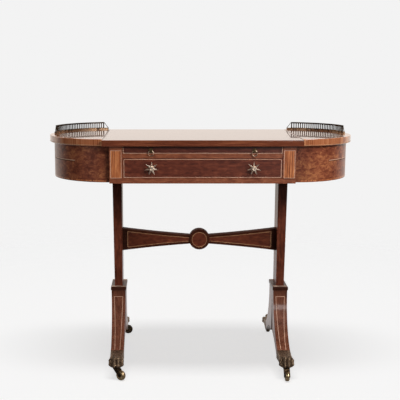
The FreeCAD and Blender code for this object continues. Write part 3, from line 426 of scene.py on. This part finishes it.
def brass(name, bright, patina, share, patch_mm, rough):
    """Brass with patches of patina, which cover more where share is higher."""
    material, tree, shader = new_material(name, Metallic=1.0)
    patch = add(tree, "TexNoise", {"Vector": cells(tree, [patch_mm] * 3), "Scale": 1.0,
                                   "Detail": 5.0, "Roughness": 0.65})
    worn = add(tree, "MapRange", {"Value": patch.outputs["Fac"], "From Min": share - PATINA_EDGE,
                                  "From Max": share + PATINA_EDGE})
    tone = add(tree, "ValToRGB", {"Fac": worn.outputs["Result"]},
               stops=[(0.0, patina), (1.0, bright)])
    gloss = add(tree, "MapRange", {"Value": worn.outputs["Result"],
                                   "To Min": rough + PATINA_DULLNESS, "To Max": rough})
    dents = add(tree, "Bump", {"Height": patch.outputs["Fac"], "Strength": 0.25,
                               "Distance": DENT_DEPTH})
    surface(tree, shader, tone.outputs["Color"], gloss.outputs["Result"], dents.outputs["Normal"])
    print("brass:", name)
    return material


print("patina is rougher than bright brass by", PATINA_DULLNESS)

# %% Brass of each fitting
# Pierced sheet brass, never cleaned: dark brown with a dull golden glint on the rail.
gallery_brass = brass("brass_gallery", "#57432f", "#231b14", share=0.5, patch_mm=5, rough=0.34)
# Base moulding of the gallery, where dusters reach: a warmer and lighter golden brown.
base_brass = brass("brass_gallery_base", "#bd9b7c", "#4a3a2d", share=0.51, patch_mm=15, rough=0.32)
# Cast and gilt brass of the stars: pale gold that glitters in their grooves.
star_brass = brass("brass_stars", "#fff2e2", "#a88a6c", share=0.46, patch_mm=3, rough=0.5)
# Drop rings: bent brass wire, bright only where fingers have rubbed it.
ring_brass = brass("brass_drop_rings", "#eccfb4", "#5e4430", share=0.5, patch_mm=3, rough=0.3)
# Backplates of the pulls: the same brass, but dark where no finger rubs it.
plate_brass = brass("brass_backplates", "#7d6445", "#3a2d20", share=0.5, patch_mm=3, rough=0.4)
# Cast brass paws: grey-brown patina, rubbed lighter on the knuckles.
paw_brass = brass("brass_paws", "#988068", "#503f33", share=0.5, patch_mm=6, rough=0.42)
# Castor forks: the same cast brass, dark with old oil.
horn_brass = brass("brass_castor_forks", "#4d3c2a", "#1f1812", share=0.52, patch_mm=5, rough=0.34)
# Turned brass wheels: kept bright by the floor, with one sharp highlight.
wheel_brass = brass("brass_castor_wheels", "#cdb28a", "#6e5941", share=0.48, patch_mm=5, rough=0.26)
# The back wheels stand in shade: painted shade makes them nearly black, with a dull glint.
shaded_back_wheel_brass = brass("brass_back_wheels_painted_shade", "#4f402d", "#201a14", share=0.54, patch_mm=5,
                         rough=0.34)

# %% [markdown]
# ## Leather
# The slide's writing surface is hide with a fine pebbled grain. The pebbles could be modelled, but
# at a millimetre or two across they only need to catch the light, so a bump of small cells is
# enough.

# %% Leather
WEAR_MM = 60
HIDE_STOPS = (0.35, 0.5, 0.68)
HIDE_ROUGH = (0.62, 0.42)
PEBBLE_DEPTH = 0.2 * MM


def leather(name, tones, pebble_mm):
    """Pebbled hide that is lighter and smoother where it is worn."""
    material, tree, shader = new_material(name, Specular_IOR_Level=0.35)
    pebble = add(tree, "TexVoronoi", {"Vector": cells(tree, [pebble_mm] * 3), "Scale": 1.0})
    wear = add(tree, "TexNoise", {"Vector": cells(tree, [WEAR_MM] * 3), "Scale": 1.0,
                                  "Detail": 5.0})
    tone = add(tree, "ValToRGB", {"Fac": wear.outputs["Fac"]}, stops=zip(HIDE_STOPS, tones))
    gloss = add(tree, "MapRange", {"Value": wear.outputs["Fac"], "To Min": HIDE_ROUGH[0],
                                   "To Max": HIDE_ROUGH[1]})
    dents = add(tree, "Bump", {"Height": pebble.outputs["Distance"], "Strength": 0.4,
                               "Distance": PEBBLE_DEPTH})
    surface(tree, shader, tone.outputs["Color"], gloss.outputs["Result"], dents.outputs["Normal"])
    print("leather:", name)
    return material


# Tanned hide, worn by writing: a soft dark brown, a little shinier where hands have rested.
hide = leather("leather_hide", ("#3a1a12", "#4c2418", "#643422"), pebble_mm=1.6)

# %% [markdown]
# ## Finishes on the solids
# Each solid of the frame keeps its shape and only gets its material. Curved solids come as many
# flat facets. More facets could hide that, but smooth shading does it as well, with an edge kept
# sharp where two faces meet at a real corner.

# %% Give every solid its finish
CORNER = math.radians(32)
FINISHES = {
    top_wood: ["top_centre"],
    end_band: ["top_end_left", "top_end_right"],
    end_burr: ["end_veneer_left", "end_veneer_right"],
    rail_wood: ["bottom_rail", "mid_rail", "back_frieze", "pilaster_front_left",
                "pilaster_front_right", "pilaster_back_left", "pilaster_back_right"],
    drawer_wood: ["drawer_front"],
    shaded_lip_wood: ["slide_lipping"],
    slide_wood: ["slide_panel", "slide_stop_pegs"],
    hide: ["slide_lining"],
    pine: ["end_core_left", "end_core_right", "partition_left", "partition_right", "bearers",
           "drawer_runners", "slide_runners", "drawer_stops"],
    oak: ["drawer_side_left", "drawer_side_right", "drawer_back", "drawer_bottom"],
    upright_wood: ["upright_left", "upright_right"],
    cap_wood: ["trestle_caps"],
    leg_wood: ["trestle_blocks", "leg_front_left", "leg_front_right", "leg_back_left",
               "leg_back_right"],
    arm_wood: ["stretcher_arm_left", "stretcher_arm_right", "stretcher_roundel"],
    gallery_brass: ["gallery_left", "gallery_right"],
    base_brass: ["gallery_base_left", "gallery_base_right"],
    star_brass: ["star_knob_left", "star_knob_right"],
    ring_brass: ["pull_ring_left", "pull_ring_right"],
    plate_brass: ["ring_plates", "knob_nuts"],
    paw_brass: ["paw_caps"],
    horn_brass: [name for name in nodes if name.startswith("castor_horn_")],
    wheel_brass: [name for name in nodes if name.startswith("castor_wheel_front_")],
    shaded_back_wheel_brass: [name for name in nodes if name.startswith("castor_wheel_back_")],
}
for finish, names in FINISHES.items():
    for name in names:
        mesh = nodes[name].data
        mesh.materials.clear()
        mesh.materials.append(finish)
        mesh.shade_smooth()
        mesh.set_sharp_from_angle(angle=CORNER)
bare = set(nodes) - {name for names in FINISHES.values() for name in names}
print("finished:", len(nodes) - len(bare), "solids, without finish:", sorted(bare))

# %% [markdown]
# ## Lines of boxwood
# Thin strips of pale boxwood, called stringing, are let into the dark wood round the drawer, the
# slide, the pilasters, the stretcher and the legs. A texture could draw them, but a strip with
# real width and mitred corners stays sharp from any side. One function sweeps a small flat bar
# along points on a surface, and stands it a hair proud, as old stringing does.

# %% Closed meshes
def solid(name, rings, closed, finish, body):
    """Closed mesh through rings of points, each joined to the next; it rides on a body."""
    mesh = bmesh.new()
    loops = [[mesh.verts.new(point) for point in ring] for ring in rings]
    count = len(loops[0])
    pairs = list(zip(loops, loops[1:] + loops[:1])) if closed else list(zip(loops, loops[1:]))
    for here, after in pairs:
        for n in range(count):
            m = (n + 1) % count
            mesh.faces.new((here[n], here[m], after[m], after[n]))
    if not closed:
        mesh.faces.new(loops[0][::-1])
        mesh.faces.new(loops[-1])
    bmesh.ops.recalc_face_normals(mesh, faces=mesh.faces)
    data = bpy.data.meshes.new(name)
    mesh.to_mesh(data)
    mesh.free()
    data.materials.append(finish)
    piece = bpy.data.objects.new(name, data)
    bpy.context.scene.collection.objects.link(piece)
    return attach(piece, body)


print("tool for thin pieces: solid")

# %% The inlay tool
LINE = 1.3 * MM
PROUD = 0.14 * MM
SUNK = 0.3 * MM


def inlay(name, points, facing, body="table", width=LINE, closed=True, finish=boxwood):
    """Strip along points of a surface; facing is the surface's normal, one or one per point."""
    facings = facing if isinstance(facing, list) else [facing] * len(points)
    rings = []
    for n, (point, normal) in enumerate(zip(points, facings)):
        before = points[n - 1] if closed or n else point
        after = points[(n + 1) % len(points)] if closed or n + 1 < len(points) else point
        ways = [(b - a).normalized() for a, b in ((before, point), (point, after))
                if (b - a).length]
        sides = [normal.cross(way).normalized() for way in ways]
        mitre = sum(sides, Vector()).normalized()
        across = mitre * (width / 2 / mitre.dot(sides[0]))
        rings.append([point + across * s + normal * h
                      for s, h in ((-1, -SUNK), (-1, PROUD), (1, PROUD), (1, -SUNK))])
    return solid(name, rings, closed, finish, body)


print("stringing:", LINE / MM, "mm wide")

# %% [markdown]
# ## Drawer and slide
# A line runs right round the drawer's face. On the slide above it the top hides the upper edge, so
# there the line runs down one end, along the foot and up the other end. Plain numbers could place
# both, but they follow the solids' own boxes, so that they stay in place if a size changes. They
# ride on the bodies that pull out.

# %% Lines on the drawer and slide
FRONT = Vector((0, -1, 0))
DRAWER_MARGIN = 3.2 * MM
DRAWER_FOOT = 2.4 * MM
SLIDE_MARGIN = 1.1 * MM


def rectangle(x0, x1, z0, z1, y):
    """Corners of an upright rectangle at one depth."""
    return [Vector((x0, y, z0)), Vector((x1, y, z0)), Vector((x1, y, z1)), Vector((x0, y, z1))]


low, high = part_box("drawer_front")
corners = rectangle(low.x + DRAWER_MARGIN, high.x - DRAWER_MARGIN, low.z + DRAWER_FOOT,
                    high.z - DRAWER_FOOT, low.y)
inlay("drawer_line", corners, FRONT, "drawer")
low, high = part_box("slide_lipping")
foot_left, foot_right, head_right, head_left = rectangle(
    low.x + SLIDE_MARGIN, high.x - SLIDE_MARGIN, low.z + SLIDE_MARGIN, high.z, low.y)
inlay("slide_line", [head_left, foot_left, foot_right, head_right], FRONT, "writing_slide",
      closed=False)
print("lines round the drawer and under the slide")

# %% [markdown]
# ## Pilaster panels
# Each pilaster carries an upright panel of orange straight-grained veneer with a boxwood border.
# A mask in the rail's material could colour it, but a thin plate gives the panel its own grain and
# a clean edge, which the border covers.

# %% Panels and borders
BACK = Vector((0, 1, 0))
PANEL_SIDE = 4.0 * MM
PANEL_TOP = 13 * MM
PANEL_FOOT = 1.0 * MM
PLATE = 0.08 * MM


def plate(name, points, facing, finish, body="table"):
    """Thin sheet of veneer with an outline of points on a surface."""
    rings = [[p - facing * SUNK for p in points], [p + facing * PLATE for p in points]]
    return solid(name, rings, False, finish, body)


# The back pilasters reach further down, but all four panels start at one height.
foot = post_low.z + PANEL_FOOT
for place, facing in (("front", FRONT), ("back", BACK)):
    for side in ("left", "right"):
        low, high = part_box(f"pilaster_{place}_{side}")
        y = low.y if place == "front" else high.y
        corners = rectangle(low.x + PANEL_SIDE, high.x - PANEL_SIDE, foot, high.z - PANEL_TOP, y)
        plate(f"pilaster_panel_{place}_{side}", corners, facing, pilaster_wood)
        inlay(f"pilaster_line_{place}_{side}", corners, facing)
print("panels on the pilasters")

# %% [markdown]
# ## Lines and fields on the rounded ends
# A line of stained boxwood runs along the lower edge of the top's rim, and a band of satinwood
# along the foot of the frieze. Both follow the D: two tighter shoulder arcs and a flatter arc
# between them. A plain half circle would leave the surface, so the arcs' radii follow from how far
# the D reaches and how wide it is, as in the solid. Where the core's two courses meet, the burr has
# opened a little at the extremes: a dark gap, with a painted highlight in pale wood along its upper
# lip. On top, the crossbanding is only a border: a plate of plain veneer, whose outline keeps the
# same distance from the rim all round, fills the middle of each D.

# %% Curve of the D
FLATNESS = 17 * MM
ARC_STEPS = 96


def rounded_end(reach, side, z, hand, first, last):
    """Points and normals on a D from one angle about its middle to another, in degrees."""
    shoulder = min(reach, side) - FLATNESS
    flat = (reach ** 2 + side ** 2 - 2 * side * shoulder) / (2 * (reach - shoulder))
    centre = SPRING_X + reach - flat
    change = math.atan2(side - shoulder, SPRING_X - centre)
    points, normals = [], []
    for step in range(ARC_STEPS + 1):
        angle = math.radians(first + (last - first) * step / ARC_STEPS)
        way = Vector((math.cos(angle), math.sin(angle), 0))
        if abs(angle) < change:
            spot = Vector((centre, 0, z)) + way * flat
        else:
            spot = Vector((SPRING_X, math.copysign(side - shoulder, angle), z)) + way * shoulder
        points.append(Vector((hand * spot.x, spot.y, z)))
        normals.append(Vector((hand * way.x, way.y, 0)))
    return points, normals


print("curve of the D:", ARC_STEPS, "steps")

# %% Rim, skin and field of an end
skin_low, skin_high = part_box("end_veneer_right")
# The D stands back from the middle of the frieze by a small break, and so does its rim.
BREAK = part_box("mid_rail")[0].y + skin_high.y
RIM = (rim_high.x - SPRING_X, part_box("top_centre")[1].y + BREAK)
SKIN = (skin_high.x - SPRING_X, skin_high.y)
# The field ends where its shoulder arcs meet the joint with the middle board.
BORDER = 36 * MM
FIELD = (RIM[0] - BORDER, RIM[1] - BORDER)
field_angle = math.degrees(math.acos((rim_low.x - SPRING_X) / (FIELD[0] - FLATNESS)))
print("a D reaches", round(RIM[0] / MM), "mm, its field up to", round(field_angle, 1), "degrees")

# %% Lines and fields of the ends
UP = Vector((0, 0, 1))
RIM_LINE_LIFT = 3.2 * MM
RIM_SPAN = 84
FOOT_BAND = 4 * MM
FOOT_SPAN = 88
CRACK_HEIGHT = 61 * MM
CRACK_SPAN = 52
GAP = 2.0 * MM
crack = skin_low.z + CRACK_HEIGHT
for side, hand in (("left", -1), ("right", 1)):
    curve = rounded_end(*RIM, rim_low.z + RIM_LINE_LIFT, hand, -RIM_SPAN, RIM_SPAN)
    inlay(f"rim_line_{side}", *curve, closed=False, finish=tan_line)
    curve = rounded_end(*SKIN, skin_low.z + FOOT_BAND, hand, -FOOT_SPAN, FOOT_SPAN)
    inlay(f"foot_line_{side}", *curve, width=FOOT_BAND, closed=False, finish=pilaster_wood)
    # Painted highlight: a pale strip along the upper lip of the gap.
    curve = rounded_end(*SKIN, crack + GAP, hand, -CRACK_SPAN, CRACK_SPAN)
    inlay(f"joint_highlight_{side}", *curve, width=GAP, closed=False)
    curve = rounded_end(*SKIN, crack, hand, -CRACK_SPAN, CRACK_SPAN)
    inlay(f"joint_gap_{side}", *curve, width=GAP, closed=False, finish=ebony)
    points, _ = rounded_end(*FIELD, rim_high.z, hand, -field_angle, field_angle)
    plate(f"end_field_{side}", points, UP, field_top_wood)
print("lines round both ends, and fields on top of them")

# %% [markdown]
# ## The stretcher's inlaid field
# The stretcher's arms are dark along their edges and ebonised at their ends, and a field of lighter
# mahogany inside them is edged with stained boxwood. Straight lines would run off the arm, because
# its edges bow in a little between the roundel and the upright. So the field's outline is worked
# out from the same bow, and keeps one distance from the edges. The roundel has a round field.

# %% Outline of the arms
arm_low, arm_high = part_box("stretcher_arm_right")
disc_low, disc_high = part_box("stretcher_roundel")
MIDDLE_Z = (arm_low.z + arm_high.z) / 2
ARM_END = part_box("upright_right")[0].x
WAIST = 12 * MM
SWELL = (arm_high.z - arm_low.z) / 2 - WAIST
BOW = 2 * MM


def arm_half_height(x):
    """Half the height of a stretcher arm at a distance from the middle of the table."""
    share = x / ARM_END
    # The bow is a parabola, deepest halfway along the arm.
    return WAIST + SWELL * share - 4 * BOW * share * (1 - share)


print("arm height at the upright:", round(2 * arm_half_height(ARM_END) / MM, 1), "mm")

# %% Stretcher fields and lines
EDGE_MARGIN = 8.5 * MM
END_MARGIN = 17 * MM
FIELD_STEPS = 8
LAP = 1 * MM
ROUNDEL_FIELD = 24 * MM
ROUND_STEPS = 48
first = disc_high.x - LAP
last = ARM_END - END_MARGIN
stations = [first + (last - first) * n / FIELD_STEPS for n in range(FIELD_STEPS + 1)]
turns = [2 * math.pi * n / ROUND_STEPS for n in range(ROUND_STEPS)]
for face, facing, y in (("front", FRONT, arm_low.y), ("back", BACK, arm_high.y)):
    for side, hand in (("left", -1), ("right", 1)):
        upper = [Vector((hand * x, y, MIDDLE_Z + arm_half_height(x) - EDGE_MARGIN))
                 for x in stations]
        lower = [Vector((hand * x, y, MIDDLE_Z - arm_half_height(x) + EDGE_MARGIN))
                 for x in stations]
        border = upper + lower[::-1]
        plate(f"stretcher_field_{face}_{side}", border, facing, field_wood)
        inlay(f"stretcher_line_{face}_{side}", border, facing, closed=False, finish=tan_line)
        ends = [(last, 1), (ARM_END, 1), (ARM_END, -1), (last, -1)]
        band = [Vector((hand * x, y, MIDDLE_Z + s * (arm_half_height(x) - PLATE))) for x, s in ends]
        plate(f"stretcher_band_{face}_{side}", band, facing, ebony)
    disc_y = disc_low.y if face == "front" else disc_high.y
    border = [Vector((ROUNDEL_FIELD * math.cos(t), disc_y, MIDDLE_Z + ROUNDEL_FIELD * math.sin(t)))
              for t in turns]
    plate(f"roundel_field_{face}", border, facing, field_wood)
    inlay(f"roundel_line_{face}", border, facing, finish=tan_line)
print("fields on the stretcher")

# %% [markdown]
# ## Lines on the legs
# The face of each sabre leg has a tapering panel of stringing that runs from under the cap to the
# brass paw. A flat line could be pressed onto the curve with a modifier, but the face is an arc of
# one radius, so a point on it follows from its height alone.

# %% Curve of a leg
SWEEP_RADIUS = 185 * MM
LEG_ROOT = 51 * MM
leg_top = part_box("trestle_caps")[0].z
sweep_y = LEG_ROOT + SWEEP_RADIUS
ankle_in = sweep_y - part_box("leg_back_right")[1].y
ankle_top = leg_top - math.sqrt(SWEEP_RADIUS ** 2 - ankle_in ** 2)
print("a leg's face ends", round(ankle_top / MM, 1), "mm above the floor")

# %% Leg lines
LINE_TOP_DROP = 22 * MM
TOP_HALF = 14 * MM
FOOT_HALF = 8 * MM
CUFF = 2.5 * MM
LEG_STEPS = 14
line_top = leg_top - LINE_TOP_DROP
line_foot = ankle_top + CUFF
heights = [line_top + (line_foot - line_top) * n / LEG_STEPS for n in range(LEG_STEPS + 1)]
for place, sense in (("front", -1), ("back", 1)):
    for side in ("left", "right"):
        low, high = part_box(f"leg_{place}_{side}")
        middle = (low.x + high.x) / 2
        left, right, normals = [], [], []
        for n, z in enumerate(heights):
            half = TOP_HALF + (FOOT_HALF - TOP_HALF) * n / LEG_STEPS
            drop = leg_top - z
            in_from = math.sqrt(SWEEP_RADIUS ** 2 - drop ** 2)
            y = sense * (sweep_y - in_from)
            left.append(Vector((middle - half, y, z)))
            right.append(Vector((middle + half, y, z)))
            normals.append(Vector((0, sense * in_from, drop)).normalized())
        inlay(f"leg_line_{place}_{side}", left[::-1] + right, normals[::-1] + normals, closed=False)
print("lines on the legs")

# %% [markdown]
# ## Painted highlights on the caps
# In front of each upright and behind it, the top of each cap catches the light along its edge. That
# highlight is painted in pale wood. A patch in the caps' material could show it, but a thin plate
# of pale, matt wood keeps a clean edge along the cap's own rounding.

# %% Painted highlights on the caps
# Painted highlight: mahogany of a pale greyish tan that reflects nothing.
painted_highlight_wood = wood("mahogany_painted_highlight", ("#83695a", "#a28877", "#bba392"), "x", cloud_mm=12, streak_mm=2.2,
                polish=WORN, rough=(0.55, 0.7))
CAP_ROUND = 3 * MM
cap_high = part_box("trestle_caps")[1]
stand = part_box("upright_right")[1].y
leg_low, leg_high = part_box("leg_front_right")
cap_middle = (leg_low.x + leg_high.x) / 2
cap_half = cap_high.x - cap_middle - CAP_ROUND
for place, sense in (("front", -1), ("back", 1)):
    for side, hand in (("left", -1), ("right", 1)):
        ends = (hand * cap_middle - cap_half, hand * cap_middle + cap_half)
        runs = (sense * stand, sense * (cap_high.y - CAP_ROUND))
        corners = [Vector((x, y, cap_high.z)) for x, y in
                   ((ends[0], runs[0]), (ends[1], runs[0]), (ends[1], runs[1]), (ends[0], runs[1]))]
        plate(f"cap_painted_highlight_{place}_{side}", corners, UP, painted_highlight_wood)
print("worn places on the caps")

# %% [markdown]
# ## Floor
# The photograph is a studio picture: pale paper with no edge, and a soft shadow under the table. A
# curved sweep of paper could be modelled, but it only looks right from the front. A wide disc that
# fades out into an even backdrop shows no horizon from anywhere. It glows a little for the camera,
# so that it is as pale as the backdrop, and it still takes the shadow. In reflections the part in
# front of the table is dark, as a studio's floor is outside the light, so that the polished fronts
# stay deep in colour.

# %% Floor disc
FLOOR_RADIUS = 5.0
FLOOR_SIDES = 96
floor_mesh = bmesh.new()
bmesh.ops.create_circle(floor_mesh, cap_ends=True, segments=FLOOR_SIDES, radius=FLOOR_RADIUS)
floor_data = bpy.data.meshes.new("floor")
floor_mesh.to_mesh(floor_data)
floor_mesh.free()
floor = bpy.data.objects.new("floor", floor_data)
bpy.context.scene.collection.objects.link(floor)
floor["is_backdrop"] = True
print("floor:", FLOOR_RADIUS, "m")

# %% Tone of the paper
FLOOR_TONE = colour("#dadada")
DARK_FRONT = (-0.5, 0.4)
DARK_TONE = colour("#4a4644")
# Matt background paper: an even pale grey that only shows the soft shadow under the table.
paper, tree, shader = new_material("paper_sweep", Roughness=0.9, Specular_IOR_Level=0.1,
                                   Emission_Color=(1, 1, 1, 1))
path = add(tree, "LightPath")
spot = add(tree, "TexCoord").outputs["Object"]
ahead = add(tree, "MapRange", {"Value": add(tree, "SeparateXYZ", {"Vector": spot}).outputs["Y"],
                               "From Min": DARK_FRONT[0], "From Max": DARK_FRONT[1],
                               "To Min": 1.0, "To Max": 0.0})
dim = add(tree, "Math", {0: ahead.outputs["Result"], 1: path.outputs["Is Glossy Ray"]},
          operation="MULTIPLY")
tone = add(tree, "MixRGB", {"Fac": dim.outputs["Value"], "Color1": FLOOR_TONE, "Color2": DARK_TONE})
print("paper: in reflections darkest at", DARK_FRONT[0], "m and nearer")

# %% Glow and edge of the paper
FLOOR_GLOW = 0.66
FLOOR_FADE = (1.0, 2.6)
behind = add(tree, "Math", {0: path.outputs["Is Glossy Ray"], 1: dim.outputs["Value"]},
             operation="SUBTRACT")
shown = add(tree, "Math", {0: path.outputs["Is Camera Ray"], 1: behind.outputs["Value"]},
            operation="MAXIMUM")
glow = add(tree, "Math", {0: shown.outputs["Value"], 1: FLOOR_GLOW}, operation="MULTIPLY")
reach = add(tree, "VectorMath", {0: spot}, operation="LENGTH")
fade = add(tree, "MapRange", {"Value": reach.outputs["Value"], "From Min": FLOOR_FADE[0],
                              "From Max": FLOOR_FADE[1], "To Min": 1.0, "To Max": 0.0},
           interpolation_type="SMOOTHSTEP")
for socket, value in (("Base Color", tone.outputs["Color"]),
                      ("Emission Strength", glow.outputs["Value"]),
                      ("Alpha", fade.outputs["Result"])):
    tree.links.new(value, shader.inputs[socket])
floor_data.materials.append(paper)
print("paper: fading out from", FLOOR_FADE[0], "to", FLOOR_FADE[1], "m")

# %% [markdown]
# ## The room
# The camera sees an even pale backdrop. Polished wood and brass need more than that to mirror: a
# bright wall behind the table, which lies as a pale sheen on the top, and a dark room on the
# camera's side. Walls could be modelled, but one world shader can give all of it, told apart by
# the kind of ray that asks. The light that the room itself sheds is low, so that the lamps give
# the form.

# %% Room
BACKDROP = 0.896
AMBIENT = 0.10
WALL_EDGE = (0.1, 0.7)
DARK_ROOM = colour("#3a3736")
BRIGHT_WALL = colour("#f5ebe2")
world = bpy.data.worlds.new("studio")
bpy.context.scene.world = world
world.use_nodes = True
tree = world.node_tree
tree.nodes.clear()
path = add(tree, "LightPath")
way = add(tree, "SeparateXYZ", {"Vector": add(tree, "TexCoord").outputs["Generated"]})
depth = add(tree, "MapRange", {"Value": way.outputs["Y"], "From Min": WALL_EDGE[0],
                               "From Max": WALL_EDGE[1]}, interpolation_type="SMOOTHSTEP")
room = add(tree, "MixRGB", {"Fac": depth.outputs["Result"], "Color1": DARK_ROOM,
                            "Color2": BRIGHT_WALL})
shiny = add(tree, "MixRGB", {"Fac": path.outputs["Is Glossy Ray"], "Color1": (AMBIENT,) * 3 + (1,),
                             "Color2": room.outputs["Color"]})
seen = add(tree, "Math", {0: path.outputs["Is Camera Ray"], 1: path.outputs["Is Transmission Ray"]},
           operation="MAXIMUM")
pale = add(tree, "MixRGB", {"Fac": seen.outputs["Value"], "Color1": shiny.outputs["Color"],
                            "Color2": (BACKDROP,) * 3 + (1,)})
light = add(tree, "Background", {"Color": pale.outputs["Color"], "Strength": 1.0})
add(tree, "OutputWorld", {"Surface": light.outputs["Background"]})
print("room: ambient", AMBIENT, "backdrop", BACKDROP)

# %% [markdown]
# ## Lamps
# Soft light comes from five area lamps. The key stands at the front on the right and the fill on
# the left. A small strip beside the camera puts glints on the brass and a bright band on the curved
# legs, and a back light reaches the sides that face away. The overhead light is a long bank high
# up, so the shadow's front and back edges are fairly sharp and its ends soft. Five lamps would cast
# five shadows, so the other four are linked to leave the floor out, as if flags stood in their way.
# The overhead and back lights don't show in reflections, where they would lie as glare.

# %% Lamps
AIM = Vector((0, 0, 0.5))


def lamp(name, place, power, **settings):
    """Area lamp that points at the middle of the table."""
    data = bpy.data.lights.new(name, "AREA")
    data.energy = power
    for key, value in settings.items():
        setattr(data, key, value)
    holder = bpy.data.objects.new(name, data)
    holder.location = place
    holder.rotation_euler = (AIM - Vector(place)).to_track_quat("-Z", "Y").to_euler()
    bpy.context.scene.collection.objects.link(holder)
    print("lamp:", name, power, "W")
    return holder


key = lamp("key_light", place=(2.0, -2.4, 2.5), power=130, size=1.3)
fill = lamp("fill_light", place=(-2.4, -2.4, 1.6), power=17, size=1.8)
strip = lamp("strip_light", place=(0.8, -2.8, 1.15), power=7.5, shape="RECTANGLE", size=0.6,
             size_y=0.45)
back = lamp("back_light", place=(-1.4, 2.8, 2.0), power=110, size=1.6)
overhead = lamp("overhead_light", place=(0, -1.03, 8.0), power=194, shape="RECTANGLE", size=5.2,
                size_y=1.5)
for holder in (overhead, back):
    holder.visible_glossy = False
off_floor = bpy.data.collections.new("off_the_floor")
off_floor.objects.link(floor)
off_floor.collection_objects[0].light_linking.link_state = "EXCLUDE"
for holder in (key, fill, strip, back):
    holder.light_linking.receiver_collection = off_floor

# %% [markdown]
# ## Camera
# The camera stands where the photograph was taken from: 2.8 m in front of the table's middle, just
# under a metre high, a little to the left, and tipped down by ten degrees. Its place and its focal
# length were worked out from points on the table's outline. The photograph's middle lies off the
# lens's axis, as in a cropped picture. The camera could be turned to suit, but that would change
# the perspective, so the lens is shifted instead.

# %% Camera
FRAME_PIXELS = 400
SENSOR_MM = 36.0
FOCAL_PIXELS = 866.04
AXIS_PIXEL = (163.43, 220.62)
CAMERA_PLACE = (-0.1175, -2.7939, 0.9610)
CAMERA_DIP = 10.21
camera_data = bpy.data.cameras.new("camera")
camera_data.sensor_width = SENSOR_MM
camera_data.lens = FOCAL_PIXELS / FRAME_PIXELS * SENSOR_MM
camera_data.shift_x = 0.5 - AXIS_PIXEL[0] / FRAME_PIXELS
camera_data.shift_y = AXIS_PIXEL[1] / FRAME_PIXELS - 0.5
camera = bpy.data.objects.new("camera", camera_data)
camera.location = CAMERA_PLACE
camera.rotation_euler = (math.radians(90 - CAMERA_DIP), 0, 0)
bpy.context.scene.collection.objects.link(camera)
bpy.context.scene.camera = camera
bpy.context.scene.view_settings.view_transform = "Standard"
print("camera: lens", round(camera_data.lens, 1), "mm")

# %% [markdown]
# ## Sizes
# The finished table's box is measured and printed. The finished table may not outgrow its solids.
# Only the line round the rim stands a fraction of a millimetre proud at the two ends.

# %% Sizes
low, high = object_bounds()
print("visual box:", [round(c / MM, 1) for c in high - low], "mm")
